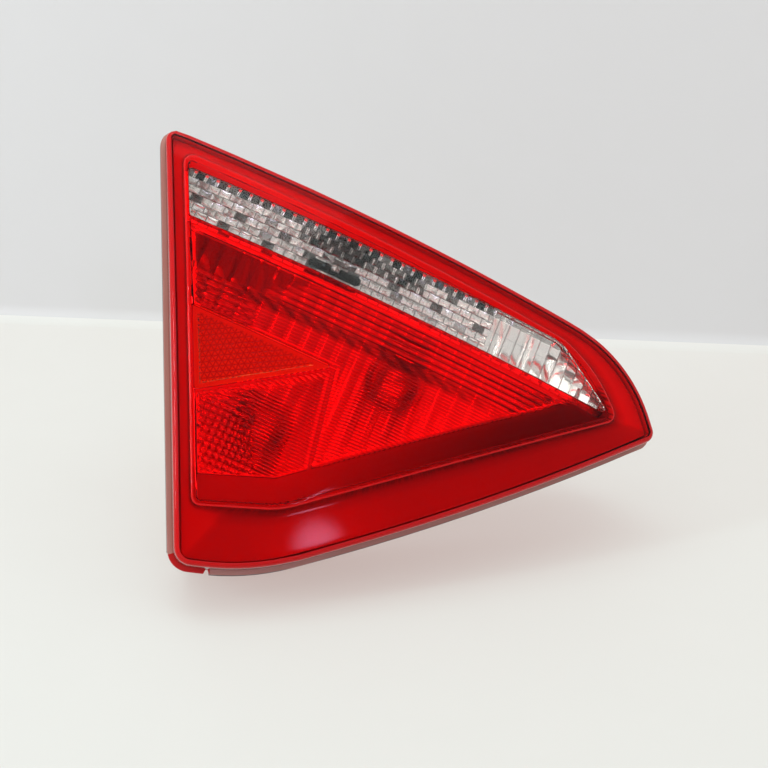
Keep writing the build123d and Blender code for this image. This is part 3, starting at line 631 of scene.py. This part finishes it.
def tidy_shell(piece, sharp_degrees):
    """Merges doubled points, drops faces without area, turns the faces outward and keeps edges
    sharper than the angle crisp."""
    shape = bmesh.new()
    shape.from_mesh(piece.data)
    bmesh.ops.remove_doubles(shape, verts=shape.verts, dist=MERGE)
    bmesh.ops.dissolve_degenerate(shape, dist=MERGE, edges=shape.edges)
    bmesh.ops.recalc_face_normals(shape, faces=shape.faces)
    shape.to_mesh(piece.data)
    loose = sum(not edge.is_manifold for edge in shape.edges)
    shape.free()
    piece.data.set_sharp_from_angle(angle=math.radians(sharp_degrees))
    triangles = sum(len(face.vertices) - 2 for face in piece.data.polygons)
    print(piece.name, "triangles", triangles, "open edges", loose)


# %% [markdown]
# ## Reversing window
# The window is clear, smooth outside and covered with small pillows inside that spread the light
# of the bulb. They are laid like bricks: six courses, and every second one is set off by half a
# brick. Each pillow is a low dome, the product of two half waves. Towards the right end the bricks
# give way to bars that run straight across, and the top course leans like a prism. Painted shade
# darkens the joints and the bricks that look past the bright reflector: a number at each point
# that the clear finish reads.

# %% Bricks of the window
WINDOW_COURSES = 6
BRICK_LENGTH = 5.2
BRICK_RISE = 0.5
BARS_FROM = 6.5 * BRICK_LENGTH
PRISM_DEPTH = 1.3


def half_wave(x):
    """A row of domes: the size of a cosine, from 0 at the joints to 1 on the crowns."""
    return np.abs(np.cos(math.pi * x))


def brick_places(u, v, low, high):
    """Course and brick that each place lies in, counted with fractions. Every second course of
    bricks is set off by half a brick."""
    course = (v - low) / (high - low) * WINDOW_COURSES
    return course, u / BRICK_LENGTH + 0.5 * (np.floor(course) % 2) * (u < BARS_FROM)


def brick_pillows(u, course, brick):
    """Height of the pillows: a half wave over each brick, times a half wave over each course
    except in the bars."""
    rows_of_domes = np.where(u < BARS_FROM, half_wave(course - 0.5), 1)
    return BRICK_RISE * np.sqrt(rows_of_domes * half_wave(brick - 0.5))


def top_prism(course):
    """Height of the prism: a wedge over the top course, thickest along its lower side."""
    return PRISM_DEPTH * np.where(course > WINDOW_COURSES - 1, WINDOW_COURSES - course, 0)


# %% Joints between the bricks
BRICK_JOINT = 0.31
JOINT_CORE = 0.2
FAINT_JOINT = 0.25


def brick_joints(u, course, brick, height):
    """1 in the joints between bricks and 0 on them, from the distance to the nearest joint; the
    bars have only faint joints between courses."""
    across = np.abs(course - np.round(course)) * height + np.where(u < BARS_FROM, 0, FAINT_JOINT)
    along = np.abs(brick - np.round(brick)) * BRICK_LENGTH
    return 1 - np.clip(np.minimum(across, along) / BRICK_JOINT - JOINT_CORE, 0, 1)


# %% Shades of the bricks
SIN_TURNS = (2.4, 4.1)
COS_TURNS = (0.7, -1.9)
SHADED_SHARE = 0.42
SHADE_GAIN = 4
SHADE_CAP = 0.96
SHADE_SPREAD = 0.06
DASH_SHARE = 0.39
TOP_SHADE = 0.98
BAR_TOP_SHADE = 0.8
BULB_SHADE = 0.97
BULB_STRETCH = (-60.0, 0.0)
SLOT = (-51.5, -27.0)
SLOT_COURSES = (0.35, 1.7)
SLOT_POWERS = (8, 4)
SLOT_GLINT = 0.15


def from_middle(x, ends):
    """-1 at the first end, 0 halfway and 1 at the second."""
    return (x - sum(ends) / 2) / (ends[1] - ends[0]) * 2


def brick_shades(u, course, brick):
    """Painted shade on each brick: a wave over its number and course that no two neighbours share,
    cut off so that most bricks stay clear. The top course is painted dark, in dashes among the
    bricks, and so are the courses over the bulb; a painted dark slot in the lowest courses stands
    for the shaded bulb port, with a clear gap in it where a glint shows."""
    number, row = np.floor(brick), np.floor(course)
    wave = np.sin(number * SIN_TURNS[0] + row * SIN_TURNS[1])
    wave *= np.cos(number * COS_TURNS[0] + row * COS_TURNS[1])
    bricks, at_top = u < BARS_FROM, row >= WINDOW_COURSES - 1
    dash = np.abs(brick - number - 0.5) < DASH_SHARE
    shade = np.clip((wave - SHADED_SHARE) * SHADE_GAIN, 0, SHADE_CAP) * bricks
    over_bulb = (row >= WINDOW_COURSES / 2) & (u > BULB_STRETCH[0]) & (u < BULB_STRETCH[1])
    bulb_shade = np.clip(BULB_SHADE + SHADE_SPREAD * wave, 0, 1)
    shade = np.maximum(shade, over_bulb * dash * bulb_shade)
    shade = np.where(at_top & bricks, dash * np.clip(TOP_SHADE + SHADE_SPREAD * wave, 0, 1), shade)
    shade = np.where(at_top & ~bricks, BAR_TOP_SHADE, shade)
    along, across = from_middle(u, SLOT), from_middle(course, SLOT_COURSES)
    slot = along ** SLOT_POWERS[0] + across ** SLOT_POWERS[1] < 1
    glint = (np.abs(along) < SLOT_GLINT) & (across > 0)
    return np.where(slot & ~glint, 1, shade)


# %% Make the window
LENS_WALL = 2.6
WINDOW_STEP_U = 0.36
WINDOW_STEP_V = 0.28
TILE_FADE = 0.6
BRICK_JOINT_SHADE = 0.95
WINDOW_SHARP = 40

u, v = tile_grid(window_edge, WINDOW_STEP_U, WINDOW_STEP_V)
low, high = heights(window_edge)
fade = np.clip(depth_inside(window_edge, u, v) / TILE_FADE, 0, 1)
course, brick = brick_places(u, v, low, high)
inner = PANEL_STEP - LENS_WALL - fade * (brick_pillows(u, course, brick) + top_prism(course))
joints = brick_joints(u, course, brick, (high - low) / WINDOW_COURSES)
# Painted shade: the joints and the shaded bricks, stored for the clear finish to darken.
painted_shade = np.maximum(BRICK_JOINT_SHADE * joints, brick_shades(u, course, brick))
window = closed_tile("window_clear", u, v, PANEL_STEP, inner, painted_shade)
tidy_shell(window, WINDOW_SHARP)
window.data.materials.append(finishes["clear_lens"])
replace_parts(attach(window, "root"), "reversing_window")

# %% [markdown]
# ## Reflex reflector
# The reflex reflector sends light back where it came from. Its back is covered with corner cubes,
# three small mirrors at right angles, packed as hexagons.

# %% Make the reflex reflector
CUBE_PITCH = 2.3
CUBE_DEPTH = 0.75
CUBE_RING = 0.62
REFLEX_RECESS = 0.4
REFLEX_STEP_V = 0.24
REFLEX_STEP_U = 1.6 * REFLEX_STEP_V
REFLEX_RIM = 2.2
REFLEX_SHARP = 25


def corner_cubes(u, v):
    """Depth of hexagonal corner cubes, from 0 to 1: the largest of three waves of straight slopes
    whose directions lie a third of a turn apart."""
    slopes = []
    for third in range(3):
        turn = math.tau * third / 3
        along = (u * math.cos(turn) + v * math.sin(turn)) / CUBE_PITCH
        slopes.append(np.abs((along % 1) * 2 - 1))
    return np.max(slopes, axis=0)


u, v = tile_grid(reflex_edge, REFLEX_STEP_U, REFLEX_STEP_V)
fade = np.clip((depth_inside(reflex_edge, u, v) - REFLEX_RIM) / TILE_FADE, 0, 1)
cubes = corner_cubes(u, v)
inner = PANEL_STEP - LENS_WALL - fade * CUBE_DEPTH * cubes
# Painted shade: the deepest parts of the corner cubes are darkened by the finish's dark tint.
painted_shade = fade * np.clip((cubes - CUBE_RING) / (1 - CUBE_RING), 0, 1)
reflex = closed_tile("reflex_plate", u, v, PANEL_STEP - REFLEX_RECESS, inner, painted_shade)
tidy_shell(reflex, REFLEX_SHARP)
reflex.data.materials.append(finishes["reflex_red"])
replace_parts(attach(reflex, "root"), "reflex_reflector")

# %% [markdown]
# ## Rows and columns of the lens panel
# The raised panel of the lens is one grid, with rows along the strip. Five places matter on each:
# the left edge, the two sides of a middle stretch, the end of the optics and the right edge. Beside
# the window and the reflex reflector the middle stretch is their opening, and elsewhere it carries
# on from one opening to the next.

# %% Lay out the rows
WELD_GAP = 0.05
OPTICS_STEP = 0.24
WINDOW_SIDE_STEP = 0.7
END_STEP = 0.3
END_ROWS = 6
ROW_MATCH = 1e-6


def spaced(low, high, step):
    """Evenly spaced values from low up to, but without, high."""
    return np.linspace(low, high, round((high - low) / step) + 1)[:-1]


panel_low, panel_high = heights(panel_edge)
reflex_low, reflex_high = np.add(heights(reflex_edge), (-WELD_GAP, WELD_GAP))
window_low, window_high = np.add(heights(window_edge), (-WELD_GAP, WELD_GAP))
corner = END_STEP * (np.arange(END_ROWS) / END_ROWS) ** 2
rows = np.concatenate([
    panel_low + corner,
    spaced(panel_low + END_STEP, reflex_low, OPTICS_STEP),
    spaced(reflex_low, reflex_high, OPTICS_STEP),
    spaced(reflex_high, window_low, OPTICS_STEP),
    spaced(window_low, window_high, WINDOW_SIDE_STEP),
    spaced(window_high, panel_high - END_STEP, END_STEP),
    panel_high - corner[::-1],
])
reflex_rows, window_rows = [
    np.flatnonzero((rows > low - ROW_MATCH) & (rows < high + ROW_MATCH))
    for low, high in ((reflex_low, reflex_high), (window_low, window_high))]
print("rows", len(rows), "by the reflex", len(reflex_rows), "by the window", len(window_rows))

# %% Five places on each row
PILLOW_SPAN = 27.0
PILLOW_RAMP = 9.0
LEAST_OPENING = 0.01
MARGIN_PART, PILLOW_PART = 4, 2
OPTICS_PART, RIGHT_PART = 5, 10

edge_left, edge_right = stretch(panel_edge, rows)
for end in (0, -1):
    edge_left[end] = edge_right[end] = (edge_left[end] + edge_right[end]) / 2
width = edge_right - edge_left
middle_left, middle_right = np.zeros(len(rows)), np.zeros(len(rows))
for edge, held in ((reflex_edge, reflex_rows), (window_edge, window_rows)):
    first, last = stretch(edge, rows[held])
    middle_left[held], middle_right[held] = first - WELD_GAP, last + WELD_GAP
between = np.arange(reflex_rows[-1], window_rows[0] + 1)
ends = between[[0, -1]]
window_top = window_rows[-1]
above = np.arange(window_top + 1, len(rows))
for side in (middle_left, middle_right):
    side[between] = np.interp(rows[between], rows[ends], side[ends])
    share = (side[window_top] - edge_left[window_top]) / width[window_top]
    side[above] = edge_left[above] + share * width[above]
reflex_base = reflex_rows[0]
under = np.arange(reflex_base)
margin = np.minimum(middle_left[reflex_base] - edge_left[reflex_base], width[under] / MARGIN_PART)
ramp_up = np.clip((rows[reflex_base] - rows[under]) / PILLOW_RAMP, LEAST_OPENING, 1)
middle_left[under] = edge_left[under] + margin
middle_right[under] = np.minimum(middle_left[under] + PILLOW_SPAN * ramp_up,
                                 edge_left[under] + width[under] / PILLOW_PART)
optics_right = np.maximum(stretch(tail_edge, rows)[1], stretch(fog_edge, rows)[1])
spare = edge_right - middle_right
optics_right = np.clip(optics_right, middle_right + spare / OPTICS_PART,
                       edge_right - spare / RIGHT_PART)
print("widest row in mm", width.max().round(1))

# %% [markdown]
# ## Optics inside the lens
# Inside, the panel carries three kinds of optics: broad flutes in a band under the window, fine
# ribs over the bulbs and small pillows at their left ends. All are depths added to a plain inner
# skin, and a mask keeps them inside the zones that the reflectors light.

# %% Depths of the optics
BAND_WIDTH = 20.0
BAND_START = -70.0
BAND_FADE = 14.0
FLUTE_STAGGER = 4.0
FLUTE_PITCH = 2.7
FLUTE_DEPTH = 0.7
TOP_FLUTES = 2.2
RIB_PITCH = 1.44
RIB_DEPTH = 0.28
PILLOW_PITCH = 2.9
PILLOW_DEPTH = 0.7
PILLOW_FADE = 2
ZONE_FADE = 0.8
STEP_INSET = 1.5
STEP_RAMP = 0.5
band_low = window_low - BAND_WIDTH
full_flutes = window_low - TOP_FLUTES * FLUTE_PITCH


def ease(x):
    """0 below 0, 1 above 1 and a smooth S between."""
    x = np.clip(x, 0, 1)
    return x * x * (3 - 2 * x)


def zone_depth(u, v):
    """Distance from each place to the nearest side of the zone that a reflector lights."""
    return np.maximum(depth_inside(tail_edge, u, v), depth_inside(fog_edge, u, v))


def past_start(u, v):
    """Distance along the strip from the left end of the optics."""
    return u - np.interp(v, rows, middle_left)


def optics_depth(u, v):
    """Depth of the optics at each place: half waves across the strip for flutes and ribs, and the
    product of two half waves for pillows, each inside its own zone."""
    flute = (v - band_low) / FLUTE_PITCH
    begin = BAND_START + FLUTE_STAGGER * np.floor(flute + 0.5)
    flutes = FLUTE_DEPTH * half_wave(flute)
    flutes *= np.where(v > full_flutes, 1, ease((u - begin) / BAND_FADE))
    ribs = RIB_DEPTH * half_wave(v / RIB_PITCH)
    pillows = PILLOW_DEPTH * half_wave(u / PILLOW_PITCH) * half_wave(v / PILLOW_PITCH)
    at_left = ease((PILLOW_SPAN - past_start(u, v)) / PILLOW_FADE)
    field = ribs * (1 - at_left) + pillows * at_left
    return np.where(v > band_low, flutes, field) * ease(zone_depth(u, v) / ZONE_FADE)


def inner_rise(u, v):
    """The inner skin: a wall's thickness under the border, a step up under the raised panel, less
    the optics."""
    panel = ease((depth_inside(panel_edge, u, v) - STEP_INSET) / STEP_RAMP)
    return PANEL_STEP * panel - LENS_WALL - optics_depth(u, v)


# %% [markdown]
# ## Shades inside the lens
# The painted shade number is high in the joints of the optics. It also paints shade on the shelf
# along the base, the plain start of the band, and a streak where the skin steps from the flutes to
# the ribs.

# %% Joints of the optics and plain parts
JOINT_SHARE = 0.45
JOINT_SHADE = 0.68
BASE_FACING = 0.8
SHELF = 15.0
SHELF_FADE = 2
SHELF_SHADE = 0.4
SHELF_END = (-60.0, 80.0)
SHELF_END_SHADE = 0.52
BAND_SHADE = 0.15


def ramp(x, ends):
    """0 before the first end, 1 after the second and a smooth S between."""
    return ease((x - ends[0]) / (ends[1] - ends[0]))


def optics_joint_shade(u, v):
    """Painted shade in the joints of the optics and none on them: the share of the full depth that
    is missing near a joint, inside the zones."""
    at_left = (past_start(u, v) < PILLOW_SPAN) & (v < band_low)
    full = np.where(at_left, PILLOW_DEPTH, np.where(v > band_low, FLUTE_DEPTH, RIB_DEPTH))
    shade_amount = np.clip(1 - optics_depth(u, v) / full / JOINT_SHARE, 0, 1)
    return JOINT_SHADE * shade_amount * ease(zone_depth(u, v) / ZONE_FADE - 1)


def plain_shade(u, v):
    """Painted shade on the shelf along the base, darker to the right, and on the start of the band,
    where no flutes are.
    """
    zone = zone_depth(u, v)
    depth = SHELF_SHADE + SHELF_END_SHADE * ramp(u, SHELF_END)
    over_base = depth_inside(panel_edge, u, v, BASE_FACING)
    shelf = depth * ease((SHELF - over_base) / SHELF_FADE) * (zone < 0)
    band = (v > band_low) & (v < full_flutes) & (zone > 0)
    start = BAND_SHADE * ease((BAND_START + BAND_WIDTH - u) / BAND_FADE)
    return np.maximum(shelf, band * start)


# %% Streak under the flutes
STREAK_DROP = 1.6
STREAK_WIDTH = 4.5
STREAK_CORE = 1.5
STREAK_SHADE = 0.95
STREAK_DASH = 9.0
STREAK_GAP = 0.55
STREAK_START = (-80.0, -72.0)
STREAK_END = (15.0, 75.0)


def band_streak(u, v):
    """A painted dark streak of dashes along the lower edge of the band: a hump across the strip,
    times a wave along it, that fades out to the right."""
    off_line = np.abs(band_low - v - STREAK_DROP) / STREAK_WIDTH
    hump = ease(STREAK_CORE - STREAK_CORE * off_line)
    dashes = STREAK_GAP + (1 - STREAK_GAP) * half_wave(u / STREAK_DASH + v / STREAK_WIDTH)
    fade = ramp(u, STREAK_START) * (1 - ramp(u, STREAK_END))
    return STREAK_SHADE * hump * dashes * fade * (depth_inside(tail_edge, u, v) > 0)


# %% [markdown]
# ## The lens as one closed shell
# The lens is one moulding, so its mesh is one closed shell. The panel gives it an outer and an
# inner skin on the same rows, with openings for the window and the reflex reflector. Around them
# goes the border: a profile carried round the edge, down the step of the panel, over the border and
# the round of the rim, down the skirt to the welding flange and back up inside.

# %% Helpers for the skins


def panel_grid(places, columns):
    """Strip coordinates of the panel: on each row, the stretches between the places are divided
    into the given numbers of columns."""
    parts = [first[:, None] + (last - first)[:, None] * np.arange(count) / count
             for first, last, count in zip(places, places[1:], columns)]
    u = np.concatenate(parts + [edge_right[:, None]], axis=1)
    return u, np.broadcast_to(rows[:, None], u.shape)


def open_faces(shape, opening):
    """Faces of a skin without those over the two openings."""
    faces = grid_faces(*shape).reshape(shape[0] - 1, shape[1] - 1, 4)
    keep = np.ones(faces.shape[:2], bool)
    for held in (reflex_rows, window_rows):
        keep[held[0]:held[-1], slice(*opening)] = False
    return faces[keep]


# %% Skins of the panel
OUTER_COLUMNS = (2, 10, 6, 2)
INNER_COLUMNS = (1, 2, 2, 50, 34, 3, 2, 1)
OUTER_OPENING = np.cumsum(OUTER_COLUMNS)[:2]
INNER_OPENING = np.cumsum(INNER_COLUMNS)[2:4]
STEP_SHARES = ((0.03, 0.45), (0.06, 0.6))

left_room, right_room = middle_left - edge_left, edge_right - optics_right
starts, stops = [], []
for extra, (least, most) in zip((0, STEP_RAMP), STEP_SHARES):
    first, last = inset_stretch(panel_edge, rows, STEP_INSET + extra)
    starts.append(edge_left + np.clip(first - edge_left, left_room * least, left_room * most))
    stops.append(edge_right - np.clip(edge_right - last, right_room * least, right_room * most))
outer_places = [edge_left, middle_left, middle_right, optics_right, edge_right]
inner_places = [edge_left, *starts, *outer_places[1:4], *stops[::-1], edge_right]
outer_u, outer_v = panel_grid(outer_places, OUTER_COLUMNS)
inner_u, inner_v = panel_grid(inner_places, INNER_COLUMNS)
skin_points = np.concatenate([
    crown_place(outer_u, outer_v, PANEL_STEP).reshape(-1, 3),
    crown_place(inner_u, inner_v, inner_rise(inner_u, inner_v)).reshape(-1, 3),
])
skin_faces = [
    *open_faces(outer_u.shape, OUTER_OPENING)[:, ::-1].tolist(),
    *(open_faces(inner_u.shape, INNER_OPENING) + outer_u.size).tolist(),
]
print("outer skin", outer_u.shape, "inner skin", inner_u.shape)

# %% Walls of the two openings
outer_number = np.arange(outer_u.size).reshape(outer_u.shape)
inner_number = np.arange(inner_u.size).reshape(inner_u.shape) + outer_u.size
outer_wide, inner_wide = np.ptp(OUTER_OPENING), np.ptp(INNER_OPENING)
ratio = inner_wide // outer_wide


def opening_walls(held):
    """Faces that join the two skins round an opening. Along a row one outer edge meets several
    inner ones, so those faces have more corners."""
    faces = []
    for outer_column, inner_column in zip(OUTER_OPENING, INNER_OPENING):
        out = outer_number[held[0]:held[-1] + 1, outer_column]
        into = inner_number[held[0]:held[-1] + 1, inner_column]
        faces += np.stack([out[:-1], out[1:], into[1:], into[:-1]], axis=-1).tolist()
    for row in (held[0], held[-1]):
        for part in range(outer_wide):
            out = outer_number[row, OUTER_OPENING[0] + part:][:2]
            into = inner_number[row, INNER_OPENING[0] + part * ratio:][:ratio + 1]
            faces.append([*out.tolist(), *into[::-1].tolist()])
    return faces


wall_faces = opening_walls(reflex_rows) + opening_walls(window_rows)
print("faces in the openings' walls", len(wall_faces))

# %% Loops round the panel and the rim


def outward_normals(loop):
    """Outward directions of a closed loop: its chords turned by a quarter turn."""
    chord = np.roll(loop, -1, axis=0) - np.roll(loop, 1, axis=0)
    turned = np.stack([chord[:, 1], -chord[:, 0]], axis=-1)
    turned *= np.sign(np.sum(turned * (loop - loop.mean(0)), axis=-1))[:, None]
    return turned / np.linalg.norm(turned, axis=-1, keepdims=True)


def seen_from(middle, edge, loop):
    """Where the rays from a middle through each point of a loop cross an outline."""
    closed = np.concatenate([edge, edge[:1]])
    along = np.concatenate([[0], np.cumsum(np.linalg.norm(np.diff(closed, axis=0), axis=1))])
    fine = np.arange(0, along[-1], OPTICS_STEP)
    dense = np.stack([np.interp(fine, along, closed[:, i]) for i in (0, 1)], axis=-1) - middle
    angle = np.arctan2(dense[:, 1], dense[:, 0])
    order = np.argsort(angle)
    ray = loop - middle
    bearing = np.arctan2(ray[:, 1], ray[:, 0])
    reach = np.interp(bearing, angle[order], np.linalg.norm(dense, axis=1)[order], period=math.tau)
    return middle + np.stack([np.cos(bearing), np.sin(bearing)], axis=-1) * reach[:, None]


step_loop = np.concatenate([
    np.stack([edge_left, rows], axis=-1)[::-1],
    np.stack([edge_right, rows], axis=-1)[1:-1],
])
rim_loop = seen_from(panel_edge.mean(0), face_edge, step_loop)
step_out, rim_out = outward_normals(step_loop), outward_normals(rim_loop)
rim_p, rim_q = face_of(*rim_loop.T)
out_p, out_q = face_of(*rim_out.T)
slope = np.arcsin((rim_p * out_p + rim_q * out_q) / CROWN_RADIUS)
print("narrowest border in mm", np.linalg.norm(rim_loop - step_loop, axis=1).min().round(1))

# %% Border: down the step, over the border and round the rim
PANEL_ROUND = 0.8
STEP_TURNS = np.radians([0, 30, 60, 90])
STEP_FOOT = 0.35
FOOT_TURNS = np.radians([0, 45, 90])
BORDER_STEPS = 6
EDGE_ROUND = 2.5
EDGE_STEPS = 7

border = []
for turn in STEP_TURNS:
    place = step_loop + step_out * PANEL_ROUND * math.sin(turn)
    border.append(crown_place(*place.T, PANEL_STEP - PANEL_ROUND * (1 - math.cos(turn))))
step_round = len(border) - 1
for turn in FOOT_TURNS:
    place = step_loop + step_out * (PANEL_ROUND + STEP_FOOT * (1 - math.cos(turn)))
    border.append(crown_place(*place.T, STEP_FOOT * (1 - math.sin(turn))))
step_end = len(border) - 1
foot = step_loop + step_out * (PANEL_ROUND + STEP_FOOT)
for part in np.arange(1, BORDER_STEPS + 1) / BORDER_STEPS:
    border.append(crown_place(*(foot + (rim_loop - foot) * part).T, 0.0))
edge_start = len(border) - 1
top = crown_out(rim_p, rim_q, 0.0)
for part in np.arange(1, EDGE_STEPS + 1) / EDGE_STEPS:
    turn = slope + (math.pi / 2 - slope) * part
    shift = EDGE_ROUND * (np.sin(turn) - np.sin(slope))
    drop = EDGE_ROUND * (np.cos(slope) - np.cos(turn))
    border.append(on_face(rim_p + out_p * shift, rim_q + out_q * shift, top - drop))
print("loops to the rim", len(border))

# %% Border: down the skirt, round the flange and back inside
FLANGE_HEIGHT = 40.0
FLANGE_THICK = 3.0
FLANGE_REACH = 2.0
FLANGE_SIDE = ((0.0, 0.0), (0.0, 1.1), (0.6, 1.4), (0.0, 1.7), (0.0, FLANGE_THICK))
NOTCH = (-80.0, -60.0)
NOTCH_WIDTH = 1.5

skirt = EDGE_ROUND * (1 - np.sin(slope))
outer_p, outer_q = rim_p + out_p * skirt, rim_q + out_q * skirt
in_corner = (outer_p < NOTCH[0]) & (outer_q < NOTCH[1])
notched = in_corner & (outer_p > NOTCH[0] - NOTCH_WIDTH)
flange_start = len(border)
border.append(on_face(outer_p, outer_q, FLANGE_HEIGHT))
for depth, drop in FLANGE_SIDE:
    reach = np.where(notched, 0, FLANGE_REACH - depth)
    border.append(on_face(outer_p + out_p * reach, outer_q + out_q * reach, FLANGE_HEIGHT - drop))
inset = skirt - LENS_WALL
border.append(on_face(rim_p + out_p * inset, rim_q + out_q * inset, FLANGE_HEIGHT - FLANGE_THICK))
flange_end = len(border)
inner_loop = rim_loop + rim_out * inset[:, None]
for part in np.arange(BORDER_STEPS) / BORDER_STEPS:
    border.append(crown_place(*(inner_loop + (step_loop - inner_loop) * part).T, -LENS_WALL))
border.append(crown_place(*step_loop.T, inner_rise(*step_loop.T)))
border = np.stack(border)
print("loops and points in each", border.shape[:2])

# %% Join the skins, the walls and the border
start = len(skin_points)
border_faces = (grid_faces(*border.shape[:2], close_columns=True) + start).tolist()
faces = skin_faces + wall_faces + border_faces
lens = mesh_object("lens_shell", np.concatenate([skin_points, border.reshape(-1, 3)]), faces)
print("faces", len(faces), "in the border", len(border_faces))

# %% Shade the lens
BASE_SHADE = 0.45
SIDE_SHARE = 0.5
STEP_SHADE = 0.9
STEP_FADE = 0.3

painted_shades = np.zeros(len(lens.data.vertices))
shades = [shade(inner_u, inner_v) for shade in (optics_joint_shade, plain_shade, band_streak)]
painted_shades[outer_u.size:start] = np.max(shades, axis=0).ravel()
rings = painted_shades[start:].reshape(border.shape[:2])
# Painted shade on the border: darker towards the base and, by half, on the left, with a dark band
# along the step of the panel and a fainter one beside it.
rings[step_end:edge_start + 1] = BASE_SHADE * np.maximum(ease(-out_q), SIDE_SHARE * ease(-out_p))
rings[step_round:step_end + 1] = STEP_SHADE
rings[step_end + 1] = np.maximum(rings[step_end + 1], STEP_FADE * (1 + ease(-out_q)))
set_painted_shade(lens, painted_shades)
print("mean shade inside", painted_shades[outer_u.size:start].mean().round(3))

# %% Finish the lens
LENS_FINISHES = ("red_lens", "weld_flange", "red_edge", "inner_wall_painted_light", "red_lip", "skirt_painted_shade")
BODY, FLANGE, EDGE, WALL, LIP, SKIRT = range(len(LENS_FINISHES))
LEFT_FACING = -0.5
LENS_SHARP = 35

for name in LENS_FINISHES:
    lens.data.materials.append(finishes[name])
slots = np.full(len(faces), BODY)
bands = slots[len(faces) - len(border_faces):].reshape(-1, border.shape[1])
bands[:step_round] = EDGE
bands[edge_start:flange_start - 1] = EDGE
# Along the top and the right the skirt takes the half-clear edge finish; elsewhere its dark finish
# is painted shade for the gap above the flange.
bands[flange_start - 1] = np.where((out_q > 0) & (out_p > LEFT_FACING), EDGE, SKIRT)
bands[flange_start:flange_end - 1] = np.where(in_corner, LIP, FLANGE)
# The inner wall of the skirt takes the pale finish, painted light for the line seen through the rim.
bands[flange_end - 1] = WALL
lens.data.polygons.foreach_set("material_index", slots)
tidy_shell(lens, LENS_SHARP)
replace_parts(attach(lens, "root"), "outer_lens")
